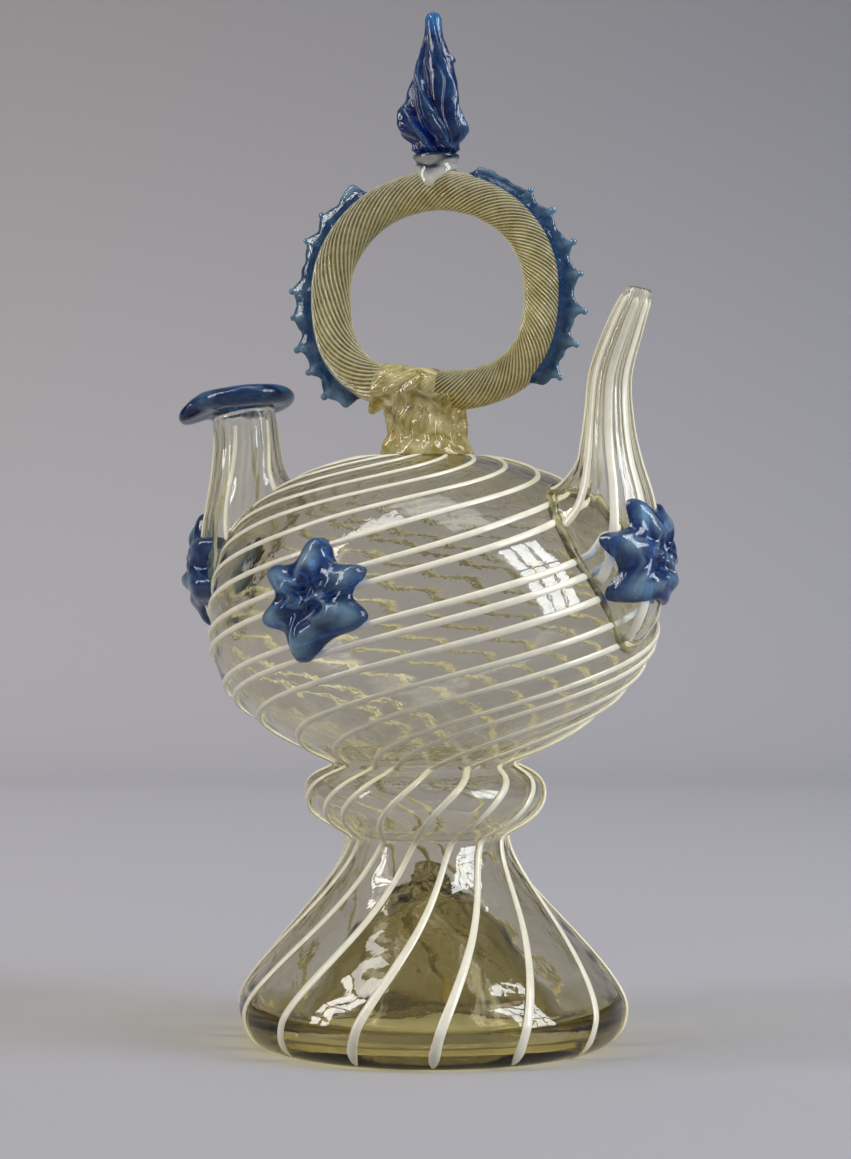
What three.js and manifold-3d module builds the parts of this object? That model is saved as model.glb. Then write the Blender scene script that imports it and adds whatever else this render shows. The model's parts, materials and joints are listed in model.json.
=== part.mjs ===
// A blown glass drinking jug with a wide filler, a pouring spout and a ring handle.
// Millimetres, +Z up, standing on Z = 0. The spout points along +X.
//
// The vessel is one bubble of clear glass: a flattened globe, a knop under it and a
// conical foot whose floor is pushed up into a kick. White threads were laid on the bubble
// while it was small, so they wind round it as it was twisted and blown. Everything else
// was stuck on hot: the filler and spout over the threads, the stem with its ring, the
// pinched crests, the flame on top and the three pressed stars.
import * as THREE from 'three';
import { mergeVertices } from 'three/addons/utils/BufferGeometryUtils.js';
import Module from 'manifold-3d';

const wasm = await Module();
wasm.setup();

// Vessel sizes, from the table upwards
const REST_INNER = 39;
const REST_OUTER = 45;
const FOOT_RADIUS = 52.4;
const HEEL_HEIGHT = 10;
const NECK_RADIUS = 21.5;
const NECK_HEIGHT = 55.6;
const KNOP_RADIUS = 32.3;
const KNOP_LOWER = 11.7;
const KNOP_UPPER = 8.4;
const WAIST_RADIUS = 24.6;
const SHOULDER_RADIUS = 36;
const SHOULDER_RISE = 5.9;
const SHOULDER_SLOPE = THREE.MathUtils.degToRad(31);
const GLOBE_RADIUS = 60.6;
const GLOBE_LOWER = 38.6;
const GLOBE_UPPER = 45.7;
const GLOBE_FULLNESS = 0.6;
const WALL = 2;
const FLOOR_THICKNESS = 4.5;
const KICK_HEIGHT = 46;
const KICK_WALL = 2.2;
const VESSEL_SIDES = 30;

// How far the axis of the bubble wanders along X at the foot, neck, knop, shoulder, equator and top
const LEAN_NECK = -1.8;
const LEAN_KNOP = -2.6;
const LEAN_SHOULDER = -3.1;
const LEAN_EQUATOR = 0.4;
const LEAN_TOP = -2;

// Threads on the vessel
const THREAD_COUNT = 15;
const THREAD_PHASE = 140;
const THREAD_WANDER = [5, 4, 4, -6, -7, -7, -5, -5, -4, -1, 4, -3, 10, 1, 1];
const THREAD_START = 2.6;
const THREAD_WIDTH = 1.8;
const THREAD_FOOT_WIDTH = 2.5;
const THREAD_RISE = 0.7;
const THREAD_LIFT = 0.55;
const THREAD_SAG = 0.28;
const THREAD_LONGEST_STEP = 14;

// Filler and spout
const FILLER_AZIMUTH = 195;
const FILLER_HOLE_RADIUS = 8;
const FILLER_WALL = 1.8;
const SPOUT_AZIMUTH = 0;
const SPOUT_HOLE_RADIUS = 3;
const SPOUT_WALL = 1.5;
const MOUTH_RISE = 15.7;
const FILLER_LENGTH = 43;
const SPOUT_LENGTH = 72;
const SEAT_HALF_WIDTH = 17;
const HORN_THREAD_WIDTH = 1.5;
const HORN_THREAD_LIFT = 0.35;
const HORN_THREAD_RISE = 0.5;
const RIM_RADIUS = 14.8;
const RIM_BORE = 5.8;
const RIM_THICKNESS = 5.6;
const RIM_TAIL = 4;
const RIM_TAIL_DROOP = 2.2;
const RIM_TAIL_TURN = 2 * Math.PI * 0.05;

// Stem, ring handle, crests and finial
const STEM_RADIUS = 10.6;
const STEM_FOOT_RADIUS = 13.2;
const RING_HALF_WIDTH = 30.8;
const RING_HALF_HEIGHT = 27.2;
const RING_TUBE_RADIUS = 5.5;
const RING_CENTRE_HEIGHT = 43.9;
const RING_OFFSET = 1;
const RING_YAW = THREE.MathUtils.degToRad(13);
const RING_FLATNESS = 2.7;
const RING_LOBES = 8;
const RING_LOBE_DEPTH = 0.6;
const RING_TURNS = 2;
const RING_STEPS = 36;
const STRAP_THICKNESS = 1;
const BEAD_RADIUS = 2.4;
const CREST_WIDTH = 5.4;
const CREST_WEB = 2.8;
const CREST_SPIKE = 2.7;
const CREST_PINCH = 3.2;
const CREST_LONGEST_STEP = 7;
const CREST_LEFT = { start: 129, end: 237, spikes: [145.5, 159.5, 178.5, 187.5, 199.5, 210.5, 222] };
const CREST_RIGHT = { start: -46, end: 74, spikes: [-34.5, -20, -7, 6, 18.5, 32.5, 46.5] };
const COLLAR_RADIUS = 5.6;
const COLLAR_HEIGHT = 4.2;
const FINIAL_HEIGHT = 38.9;
const FINIAL_RADIUS = 9.4;
const FINIAL_LOBES = 5;
const FINIAL_TURN = THREE.MathUtils.degToRad(150);

// Pressed stars
const STAR_ARMS = 6;
const STAR_RADIUS = 16.2;
const STAR_VALLEY = 9.6;
const STAR_THICKNESS = 5.4;
const STAR_DIMPLE = 2.6;
const STAR_WANDER = [0, 0, 1, -11, -14, 16];
const FRONT_STAR_AZIMUTH = -87.5;
const FRONT_STAR_RISE = 6.2;

// Every piece that was stuck on keeps this gap to what carries it
const SEAT_GAP = 0.3;
const CRUMB = 0.5;

const EQUATOR_HEIGHT = NECK_HEIGHT + KNOP_LOWER + KNOP_UPPER + GLOBE_LOWER;
const WAIST_HEIGHT = NECK_HEIGHT + KNOP_LOWER + KNOP_UPPER;
const KNOP_HEIGHT = NECK_HEIGHT + KNOP_LOWER;
const GLOBE_TOP = EQUATOR_HEIGHT + GLOBE_UPPER;
const MOUTH_HEIGHT = EQUATOR_HEIGHT + MOUTH_RISE;
const RING_HEIGHT = GLOBE_TOP + RING_CENTRE_HEIGHT;

const clearGlass = { color: 0xd9d8b8, roughness: 0.05, metalness: 0, transparent: true, opacity: 0.45 };
const strawGlass = { color: 0xc9bf6e, roughness: 0.08, metalness: 0, transparent: true, opacity: 0.7 };
const creamGlass = { color: 0xe6e0cc, roughness: 0.2, metalness: 0 };
const blueGlass = { color: 0x1d4f96, roughness: 0.06, metalness: 0 };

const radians = THREE.MathUtils.degToRad;
const v2 = (x, y) => new THREE.Vector2(x, y);
const v3 = (x, y, z) => new THREE.Vector3(x, y, z);

// A smooth step between named stations, each a height and a value
function between(stations, height) {
  const last = stations.length - 1;
  if (height <= stations[0][0]) return stations[0][1];
  if (height >= stations[last][0]) return stations[last][1];
  const i = stations.findIndex(([level]) => level > height) - 1;
  const [z0, a] = stations[i];
  const [z1, b] = stations[i + 1];
  return a + (b - a) * THREE.MathUtils.smoothstep(height, z0, z1);
}

const LEAN = [
  [0, 0],
  [NECK_HEIGHT, LEAN_NECK],
  [KNOP_HEIGHT, LEAN_KNOP],
  [WAIST_HEIGHT + 2 * SHOULDER_RISE, LEAN_SHOULDER],
  [EQUATOR_HEIGHT, LEAN_EQUATOR],
  [GLOBE_TOP, LEAN_TOP],
];
const lean = (height) => between(LEAN, height);

// Degrees of twist for each millimetre of height: little on the foot, most on the globe
const TWIST_RATE = [
  [0, 0],
  [NECK_HEIGHT * 0.27, 0.6],
  [NECK_HEIGHT * 0.54, 0.9],
  [NECK_HEIGHT * 0.9, 1],
  [KNOP_HEIGHT, 1.9],
  [WAIST_HEIGHT, 2.6],
  [EQUATOR_HEIGHT - GLOBE_LOWER * 0.6, 3.5],
  [EQUATOR_HEIGHT + GLOBE_UPPER * 0.56, 3.6],
  [EQUATOR_HEIGHT + GLOBE_UPPER * 0.78, 6],
  [GLOBE_TOP, 6.8],
];

// The twist at a height is the area under the rate up to there
function twistAt(height) {
  let turned = 0;
  for (let i = 1; i < TWIST_RATE.length; i++) {
    const [z0, a] = TWIST_RATE[i - 1];
    const [z1, b] = TWIST_RATE[i];
    const top = Math.min(height, z1);
    if (top <= z0) break;
    const rate = a + ((b - a) * (top - z0)) / (z1 - z0);
    turned += ((a + rate) / 2) * (top - z0);
  }
  return turned;
}

// Solids and meshes

// Turns a closed mesh into a solid, with its faces out and no collapsed triangles
function solidOf(geometry) {
  const bare = geometry.clone();
  for (const name of ['normal', 'uv']) bare.deleteAttribute(name);
  const merged = mergeVertices(bare, 1e-4);
  const place = merged.attributes.position;
  const corner = (i) => v3().fromBufferAttribute(place, i);
  const faces = [];
  let volume = 0;
  for (let i = 0; i < merged.index.count; i += 3) {
    const [a, b, c] = [0, 1, 2].map((k) => merged.index.getX(i + k));
    if (a === b || b === c || c === a) continue;
    faces.push([a, b, c]);
    volume += corner(a).dot(corner(b).cross(corner(c)));
  }
  const outward = volume < 0 ? faces.map(([a, b, c]) => [a, c, b]) : faces;
  return new wasm.Manifold(new wasm.Mesh({
    numProp: 3,
    vertProperties: Float32Array.from(place.array),
    triVerts: Uint32Array.from(outward.flat()),
  }));
}

// A cut can leave a crumb smaller than a grain of sand beside the piece: that is brushed off
function withoutCrumbs(solid) {
  return wasm.Manifold.union(solid.decompose().filter((body) => body.volume() > CRUMB));
}

function geometryOf(solid) {
  const mesh = solid.getMesh();
  const geometry = new THREE.BufferGeometry();
  geometry.setAttribute('position', new THREE.BufferAttribute(Float32Array.from(mesh.vertProperties), 3));
  geometry.setIndex(new THREE.BufferAttribute(Uint32Array.from(mesh.triVerts), 1));
  geometry.computeVertexNormals();
  return geometry;
}

// A skin over rings of points, closed with a fan at each end or joined end to end
function loft(rings, joined = false) {
  const sides = rings[0].length;
  const points = rings.flat();
  const index = [];
  const spans = joined ? rings.length : rings.length - 1;
  for (let i = 0; i < spans; i++) {
    const next = (i + 1) % rings.length;
    for (let j = 0; j < sides; j++) {
      const k = (j + 1) % sides;
      const [a, b] = [i * sides + j, i * sides + k];
      const [c, d] = [next * sides + j, next * sides + k];
      index.push(a, b, d, a, d, c);
    }
  }
  if (!joined) {
    for (const [ring, start] of [[rings[0], 0], [rings.at(-1), (rings.length - 1) * sides]]) {
      const middle = ring.reduce((sum, p) => sum.add(p), v3(0, 0, 0)).divideScalar(sides);
      const hub = points.push(middle) - 1;
      for (let j = 0; j < sides; j++) {
        const k = (j + 1) % sides;
        index.push(...(start === 0 ? [hub, start + k, start + j] : [hub, start + j, start + k]));
      }
    }
  }
  const geometry = new THREE.BufferGeometry();
  geometry.setFromPoints(points);
  geometry.setIndex(index);
  return geometry;
}

// A low ridge along a path: two edges near the surface and a crest over them. The seat for it
// is the same ridge grown by a gap, most at its sharp edges.
function ribbon(path, normals, widths, lift, rise, gap) {
  const low = lift - 0.7 * gap;
  const high = lift + rise + 1.3 * gap;
  const rings = path.map((point, i) => {
    const before = path[Math.max(i - 1, 0)];
    const after = path[Math.min(i + 1, path.length - 1)];
    const along = after.clone().sub(before).normalize();
    const across = along.cross(normals[i]).normalize();
    const half = widths[i] / 2 + 1.75 * gap;
    return [
      point.clone().addScaledVector(normals[i], low).addScaledVector(across, -half),
      point.clone().addScaledVector(normals[i], low).addScaledVector(across, half),
      point.clone().addScaledVector(normals[i], high),
    ];
  });
  return loft(rings);
}

// Vessel

const bezier = (...points) => new THREE.CubicBezierCurve(...points.map(([r, z]) => v2(r, z)));

// The outside of the bubble from the resting ring to the top, as radius and height
function outsideCurves() {
  const quarter = 0.55;
  const heel = bezier(
    [REST_OUTER, 0],
    [REST_OUTER + quarter * (FOOT_RADIUS - REST_OUTER), 0],
    [FOOT_RADIUS, HEEL_HEIGHT * (1 - quarter)],
    [FOOT_RADIUS, HEEL_HEIGHT],
  );
  const flankHeight = NECK_HEIGHT - HEEL_HEIGHT;
  const flank = bezier(
    [FOOT_RADIUS, HEEL_HEIGHT],
    [FOOT_RADIUS, HEEL_HEIGHT + flankHeight * 0.2],
    [NECK_RADIUS + 1.5, HEEL_HEIGHT + flankHeight * 0.7],
    [NECK_RADIUS, NECK_HEIGHT],
  );
  const knopUnder = bezier(
    [NECK_RADIUS, NECK_HEIGHT],
    [NECK_RADIUS, NECK_HEIGHT + KNOP_LOWER * 0.22],
    [KNOP_RADIUS, KNOP_HEIGHT - KNOP_LOWER * 0.62],
    [KNOP_RADIUS, KNOP_HEIGHT],
  );
  const knopOver = bezier(
    [KNOP_RADIUS, KNOP_HEIGHT],
    [KNOP_RADIUS, KNOP_HEIGHT + KNOP_UPPER * 0.75],
    [WAIST_RADIUS, WAIST_HEIGHT - KNOP_UPPER * 0.25],
    [WAIST_RADIUS, WAIST_HEIGHT],
  );
  const spring = [SHOULDER_RADIUS, WAIST_HEIGHT + SHOULDER_RISE];
  const [slopeR, slopeZ] = [Math.cos(SHOULDER_SLOPE), Math.sin(SHOULDER_SLOPE)];
  const shoulder = bezier(
    [WAIST_RADIUS, WAIST_HEIGHT],
    [WAIST_RADIUS, WAIST_HEIGHT + SHOULDER_RISE * 0.22],
    [spring[0] - slopeR * SHOULDER_RISE, spring[1] - slopeZ * SHOULDER_RISE],
    spring,
  );
  const reach = (GLOBE_RADIUS - SHOULDER_RADIUS) * 0.57;
  const globeUnder = bezier(
    spring,
    [spring[0] + slopeR * reach, spring[1] + slopeZ * reach],
    [GLOBE_RADIUS, EQUATOR_HEIGHT - GLOBE_LOWER * 0.44],
    [GLOBE_RADIUS, EQUATOR_HEIGHT],
  );
  const globeOver = bezier(
    [GLOBE_RADIUS, EQUATOR_HEIGHT],
    [GLOBE_RADIUS, EQUATOR_HEIGHT + GLOBE_UPPER * GLOBE_FULLNESS],
    [GLOBE_RADIUS * GLOBE_FULLNESS, GLOBE_TOP],
    [0, GLOBE_TOP],
  );
  return { heel, flank, knopUnder, knopOver, shoulder, globeUnder, globeOver };
}

// The underside, from the resting ring up the pushed-in kick to its tip
function kickCurves() {
  const knee = [REST_INNER / 3, KICK_HEIGHT * 0.73];
  const slope = bezier(
    [REST_INNER, 0],
    [REST_INNER * 0.77, KICK_HEIGHT * 0.26],
    [REST_INNER * 0.6, KICK_HEIGHT * 0.56],
    knee,
  );
  const tip = bezier(
    knee,
    [REST_INNER * 0.15, KICK_HEIGHT * 0.81],
    [REST_INNER * 0.09, KICK_HEIGHT * 0.86],
    [0, KICK_HEIGHT],
  );
  return { slope, tip };
}

// Points along a curve, each moved sideways: to the left of its direction when positive
function offsetPoints(curve, divisions, distance) {
  return Array.from({ length: divisions + 1 }, (_, i) => {
    const t = i / divisions;
    const along = curve.getTangent(t);
    return curve.getPoint(t).add(v2(-along.y, along.x).multiplyScalar(distance));
  });
}

// A revolved body that leans with the bubble
function revolve(profile, sides) {
  const clean = profile.filter((p, i) => i === 0 || p.distanceTo(profile[i - 1]) > 1e-3);
  const geometry = new THREE.LatheGeometry(clean.map((p) => v2(Math.max(p.x, 0), p.y)), sides);
  geometry.rotateX(Math.PI / 2);
  const place = geometry.attributes.position;
  for (let i = 0; i < place.count; i++) place.setX(i, place.getX(i) + lean(place.getZ(i)));
  return solidOf(geometry);
}

const outside = outsideCurves();
const OUTSIDE_STEPS = { heel: 3, flank: 6, knopUnder: 4, knopOver: 4, shoulder: 4, globeUnder: 5, globeOver: 7 };

// The outer skin of the bubble, grown by a gap, as a full body
function vesselSkin(gap) {
  const { slope, tip } = kickCurves();
  const kick = [...offsetPoints(slope, 4, gap), ...offsetPoints(tip, 2, gap)].reverse();
  kick[0] = v2(0, KICK_HEIGHT - gap);
  const wall = Object.entries(OUTSIDE_STEPS).flatMap(([name, steps]) => offsetPoints(outside[name], steps, -gap));
  wall[wall.length - 1] = v2(0, GLOBE_TOP + gap);
  return revolve([...kick, ...wall], VESSEL_SIDES);
}

// The air inside the bubble, which rides over the kick
function vesselAir() {
  const { slope, tip } = kickCurves();
  const kick = [...offsetPoints(slope, 3, -KICK_WALL), ...offsetPoints(tip, 2, -KICK_WALL)].reverse();
  kick[0] = v2(0, KICK_HEIGHT + KICK_WALL);
  const overFloor = kick.filter((p) => p.y > FLOOR_THICKNESS + 1);
  const floor = [v2((REST_INNER + REST_OUTER) / 2, FLOOR_THICKNESS)];
  const steps = { flank: 3, knopUnder: 3, knopOver: 3, shoulder: 2, globeUnder: 4, globeOver: 5 };
  const wall = Object.entries(steps).flatMap(([name, count]) => offsetPoints(outside[name], count, WALL));
  wall[wall.length - 1] = v2(0, GLOBE_TOP - 1.4 * WALL);
  return revolve([...overFloor, ...floor, ...wall], VESSEL_SIDES - 10);
}

// A round hole pierced through the wall at the height of both mouths
function mouthHole(azimuth, radius) {
  const drill = new THREE.CylinderGeometry(radius, radius, GLOBE_RADIUS, 16);
  drill.rotateZ(Math.PI / 2);
  drill.translate(GLOBE_RADIUS, 0, MOUTH_HEIGHT);
  drill.rotateZ(radians(azimuth));
  return solidOf(drill);
}

function vessel() {
  return vesselSkin(0)
    .subtract(vesselAir())
    .subtract(mouthHole(FILLER_AZIMUTH, FILLER_HOLE_RADIUS))
    .subtract(mouthHole(SPOUT_AZIMUTH, SPOUT_HOLE_RADIUS));
}

// Threads on the vessel

// Fine samples of the outside as radius, height and outward direction
function outsideSamples() {
  const samples = [];
  for (const curve of Object.values(outside)) {
    for (let i = 0; i < 60; i++) {
      const t = i / 60;
      const along = curve.getTangent(t);
      samples.push({ at: curve.getPoint(t), out: v2(along.y, -along.x) });
    }
  }
  return samples;
}

// The radius of the globe at a height, from the same samples
function globeRadiusAt(samples, height) {
  const i = samples.findIndex(({ at }) => at.y > height);
  if (i < 0) return 0;
  const [low, high] = [samples[i - 1].at, samples[i].at];
  return low.x + ((high.x - low.x) * (height - low.y)) / (high.y - low.y);
}

// A pierced hole spreads the glass round it, so a thread that would cross it bows aside
function bow(samples, azimuth, height, hole) {
  const radius = GLOBE_RADIUS;
  const turn = THREE.MathUtils.euclideanModulo(azimuth - hole.azimuth + 180, 360) - 180;
  const across = radians(turn) * radius;
  const up = height - MOUTH_HEIGHT;
  const distance = Math.hypot(across, up);
  if (distance > 3 * hole.spread || height < WAIST_HEIGHT) return [azimuth, height];
  const fade = 1 - THREE.MathUtils.smoothstep(distance, 1.5 * hole.spread, 3 * hole.spread);
  const push = fade * (Math.hypot(distance, hole.spread) / Math.max(distance, 0.01) - 1);
  return [azimuth + THREE.MathUtils.radToDeg((across * push) / radius), height + up * push];
}

const HOLES = [
  { azimuth: FILLER_AZIMUTH, spread: FILLER_HOLE_RADIUS + THREAD_WIDTH },
  { azimuth: SPOUT_AZIMUTH, spread: SPOUT_HOLE_RADIUS + THREAD_WIDTH },
];

// The path of a thread over the glass, with a point wherever the chord would sag too far
function threadPath(samples, first) {
  const path = [];
  let last = null;
  const end = STEM_FOOT_RADIUS + THREAD_WIDTH;
  samples.forEach(({ at, out }, i) => {
    if (at.y < THREAD_START || (at.x < end && at.y > EQUATOR_HEIGHT)) return;
    let [azimuth, height] = [first + twistAt(at.y), at.y];
    for (const hole of HOLES) [azimuth, height] = bow(samples, azimuth, height, hole);
    const radius = height === at.y ? at.x : globeRadiusAt(samples, height);
    const angle = radians(azimuth);
    const point = v3(radius * Math.cos(angle) + lean(height), radius * Math.sin(angle), height);
    const normal = v3(out.x * Math.cos(angle), out.x * Math.sin(angle), out.y).normalize();
    const next = { point, normal, height };
    const following = samples[i + 1];
    const ends = !following || (following.at.x < end && following.at.y > EQUATOR_HEIGHT);
    if (last) {
      const chord = point.distanceTo(last.point);
      const sag = (chord * normal.angleTo(last.normal)) / 8;
      if (sag < THREAD_SAG && chord < THREAD_LONGEST_STEP && !ends) return;
    }
    path.push(next);
    last = next;
  });
  return path;
}

function thread(samples, number, gap = 0) {
  const even = THREAD_PHASE + (number * 360) / THREAD_COUNT;
  const path = threadPath(samples, even + THREAD_WANDER[number % THREAD_WANDER.length]);
  const widthAt = [[NECK_HEIGHT * 0.2, THREAD_FOOT_WIDTH], [NECK_HEIGHT, THREAD_WIDTH]];
  return solidOf(ribbon(
    path.map((p) => p.point),
    path.map((p) => p.normal),
    path.map((p) => between(widthAt, p.height)),
    THREAD_LIFT,
    THREAD_RISE,
    gap,
  ));
}

// Horns: the filler and the spout are both drawn out of a bell that sits on the globe

// Each station is the inner edge, the outer edge, the half width and how far the oval is pinched.
// Edges are shares of the globe's radius and of the horn's length above the mouth, and widths are
// shares of the seat's half width.
const FILLER_STATIONS = [
  { inner: [0.495, 0.395], outer: [0.875, -0.512], half: 0.853, pinch: 0.3 },
  { inner: [0.644, 0.477], outer: [1.031, -0.465], half: 1, pinch: 0.35 },
  { inner: [0.693, 0.535], outer: [1.097, -0.233], half: 0.882, pinch: 0.25 },
  { inner: [0.723, 0.605], outer: [1.106, 0.093], half: 0.765, pinch: 0.15 },
  { inner: [0.739, 0.686], outer: [1.078, 0.372], half: 0.635, pinch: 0.08 },
  { inner: [0.749, 0.779], outer: [1.054, 0.581], half: 0.553, pinch: 0 },
  { inner: [0.759, 0.884], outer: [1.046, 0.767], half: 0.524, pinch: 0 },
  { inner: [0.776, 1.03], outer: [1.063, 0.96], half: 0.512, pinch: 0 },
];
const SPOUT_STATIONS = [
  { inner: [0.561, 0.264], outer: [0.891, -0.319], half: 0.853, pinch: 0.3 },
  { inner: [0.693, 0.299], outer: [1.04, -0.292], half: 1, pinch: 0.35 },
  { inner: [0.759, 0.347], outer: [1.13, -0.167], half: 0.912, pinch: 0.25 },
  { inner: [0.792, 0.389], outer: [1.139, 0.028], half: 0.794, pinch: 0.15 },
  { inner: [0.799, 0.438], outer: [1.097, 0.222], half: 0.635, pinch: 0.08 },
  { inner: [0.805, 0.5], outer: [1.04, 0.375], half: 0.482, pinch: 0 },
  { inner: [0.812, 0.569], outer: [1.007, 0.514], half: 0.382, pinch: 0 },
  { inner: [0.83, 0.708], outer: [1, 0.674], half: 0.3, pinch: 0 },
  { inner: [0.914, 0.875], outer: [1.056, 0.84], half: 0.253, pinch: 0 },
  { inner: [1.007, 1.008], outer: [1.114, 0.985], half: 0.194, pinch: 0 },
];

const FILLER = {
  stations: FILLER_STATIONS, length: FILLER_LENGTH, wall: FILLER_WALL, steps: 10, sides: 16, threads: 6, span: [3, 8],
};
const SPOUT = {
  stations: SPOUT_STATIONS, length: SPOUT_LENGTH, wall: SPOUT_WALL, steps: 14, sides: 16, threads: 8, span: [3, 13],
};

function edgePoint([share, rise], length) {
  return v3(share * GLOBE_RADIUS, 0, MOUTH_HEIGHT + rise * length);
}

function hornCurves({ stations, length }) {
  const spline = (pick) => new THREE.CatmullRomCurve3(stations.map(pick), false, 'centripetal');
  const last = stations.length - 1;
  const edge = (name) => spline((s) => edgePoint(s[name], length));
  return {
    inner: edge('inner'),
    outer: edge('outer'),
    shape: spline((s, i) => v3(s.half * SEAT_HALF_WIDTH, s.pinch, i / last)),
  };
}

// One oval across a horn, drawn in by an inset: its toe is narrower where it is pinched
function hornSection(curves, t, sides, inset) {
  const inner = curves.inner.getPoint(t);
  const outer = curves.outer.getPoint(t);
  const shape = curves.shape.getPoint(t);
  const middle = inner.clone().add(outer).multiplyScalar(0.5);
  const deep = outer.clone().sub(inner).multiplyScalar(0.5);
  const depth = deep.length();
  deep.normalize();
  const sideways = v3(0, 1, 0);
  return Array.from({ length: sides }, (_, j) => {
    const a = (j / sides) * 2 * Math.PI;
    const toe = Math.max(shape.y, 0) * Math.max(Math.cos(a), 0);
    const half = (shape.x - inset) * (1 - toe);
    return middle.clone()
      .addScaledVector(deep, Math.cos(a) * (depth - inset))
      .addScaledVector(sideways, Math.sin(a) * half);
  });
}

function hornRings(curves, steps, sides, inset) {
  return Array.from({ length: steps + 1 }, (_, i) => hornSection(curves, i / steps, sides, inset));
}

// The bore is the same horn drawn in by the wall, and runs out past the mouth
function hornBore(curves, steps, sides, wall) {
  const rings = hornRings(curves, steps, sides, wall);
  const mouth = rings.at(-1);
  const before = rings.at(-2);
  rings.push(mouth.map((p, j) => p.clone().add(p.clone().sub(before[j]))));
  return solidOf(loft(rings));
}

// The full outer body of a horn, grown by a gap
function hornBody(form, gap = 0) {
  return solidOf(loft(hornRings(hornCurves(form), form.steps, form.sides, -gap)));
}

function horn(form) {
  const { steps, sides, wall } = form;
  return hornBody(form).subtract(hornBore(hornCurves(form), Math.ceil(steps * 0.7), sides - 6, wall));
}

// A thread runs up the outside of a horn at one angle, over the same steps as the glass
function hornThread(form, side, gap = 0) {
  const { steps, sides, span } = form;
  const curves = hornCurves(form);
  const path = [];
  const normals = [];
  const widths = [];
  for (let i = span[0]; i <= span[1]; i++) {
    const t = i / steps;
    const ring = hornSection(curves, t, sides, 0);
    const middle = ring.reduce((sum, p) => sum.add(p), v3(0, 0, 0)).divideScalar(sides);
    path.push(ring[side]);
    normals.push(ring[side].clone().sub(middle).normalize());
    widths.push(HORN_THREAD_WIDTH * THREE.MathUtils.lerp(1, 0.6, t));
  }
  return solidOf(ribbon(path, normals, widths, HORN_THREAD_LIFT, HORN_THREAD_RISE, gap));
}

const turned = (solid, azimuth) => solid.rotate([0, 0, azimuth]);

// Filler rim: a thick folded disc with a drawn-out tail, tipped on the neck
function fillerRim(grow) {
  const middle = (RIM_RADIUS + RIM_BORE) / 2;
  const half = (RIM_RADIUS - RIM_BORE) / 2 + grow;
  const thick = RIM_THICKNESS / 2 + grow;
  const sides = 20;
  const rings = Array.from({ length: sides }, (_, i) => {
    const around = (i / sides) * 2 * Math.PI;
    const fromTail = around - RIM_TAIL_TURN;
    const tail = Math.exp(-((Math.atan2(Math.sin(fromTail), Math.cos(fromTail)) / 0.3) ** 2));
    return Array.from({ length: 8 }, (_, j) => {
      const a = (j / 8) * 2 * Math.PI;
      const out = Math.max(Math.cos(a), 0);
      const radius = middle + half * Math.cos(a) + tail * out * RIM_TAIL;
      const height = thick * Math.sin(a) * (1 - 0.4 * tail * out) - tail * out * RIM_TAIL_DROOP;
      return v3(radius * Math.cos(around), radius * Math.sin(around), height);
    });
  });
  const geometry = loft(rings, true);
  const top = FILLER_STATIONS.at(-1);
  const inner = edgePoint(top.inner, FILLER_LENGTH);
  const mouth = inner.add(edgePoint(top.outer, FILLER_LENGTH)).multiplyScalar(0.5);
  geometry.rotateX(radians(6));
  geometry.rotateY(radians(9));
  geometry.translate(mouth.x, 0, mouth.z + RIM_THICKNESS * 0.3);
  return turned(solidOf(geometry), FILLER_AZIMUTH);
}

// Pressed stars

// A blob pressed flat with a ribbed stamp: arms with round ends round a dimple, unevenly spread
function star(bend, turn) {
  const around = STAR_ARMS * 4;
  const levels = [1, 0.92, 0.6, 0.34];
  const outline = (a) => {
    const wave = 0.5 + 0.5 * Math.cos(STAR_ARMS * a);
    return STAR_VALLEY + (STAR_RADIUS - STAR_VALLEY) * wave ** 1.3;
  };
  const face = (share, wave) => {
    const dome = Math.sqrt(Math.max(1 - share ** 4, 0));
    return STAR_THICKNESS * (0.25 + 0.75 * dome * (0.72 + 0.28 * wave));
  };
  const drift = (arm) => STAR_WANDER[Math.floor(arm) % STAR_WANDER.length];
  const ring = (share, height) => Array.from({ length: around }, (_, i) => {
    const a = (i / around) * 2 * Math.PI;
    const arm = (i / around) * STAR_ARMS;
    const at = a + radians(turn + THREE.MathUtils.lerp(drift(arm), drift(arm + 1), arm % 1));
    const radius = outline(a) * share;
    const wave = 0.5 + 0.5 * Math.cos(STAR_ARMS * a);
    return v3(height(share, wave) - radius ** 2 / (2 * bend), radius * Math.cos(at), radius * Math.sin(at));
  });
  const back = () => -STAR_THICKNESS * 0.6;
  const rings = [ring(0.9, back), ...levels.map((share) => ring(share, face))];
  rings.push(ring(0.14, () => STAR_THICKNESS - STAR_DIMPLE));
  return solidOf(loft(rings));
}

function placed(solid, radius, height, azimuth) {
  return solid.translate([radius, 0, height]).rotate([0, 0, azimuth]);
}

// Ring handle

// The middle line of the ring, round above and flattened below, and the section's own axes
function ringFrame(angle) {
  const power = Math.sin(angle) < 0 ? 2 / RING_FLATNESS : 1;
  const at = (a) => v2(
    RING_HALF_WIDTH * Math.sign(Math.cos(a)) * Math.abs(Math.cos(a)) ** power,
    RING_HALF_HEIGHT * Math.sign(Math.sin(a)) * Math.abs(Math.sin(a)) ** power,
  );
  const here = at(angle);
  const step = at(angle + 0.02).sub(at(angle - 0.02)).normalize();
  const out = v3(step.y * Math.cos(RING_YAW), step.y * Math.sin(RING_YAW), -step.x);
  const side = v3(-Math.sin(RING_YAW), Math.cos(RING_YAW), 0);
  const middle = v3(
    RING_OFFSET + here.x * Math.cos(RING_YAW),
    here.x * Math.sin(RING_YAW),
    RING_HEIGHT + here.y,
  );
  return { middle, out, side };
}

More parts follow.
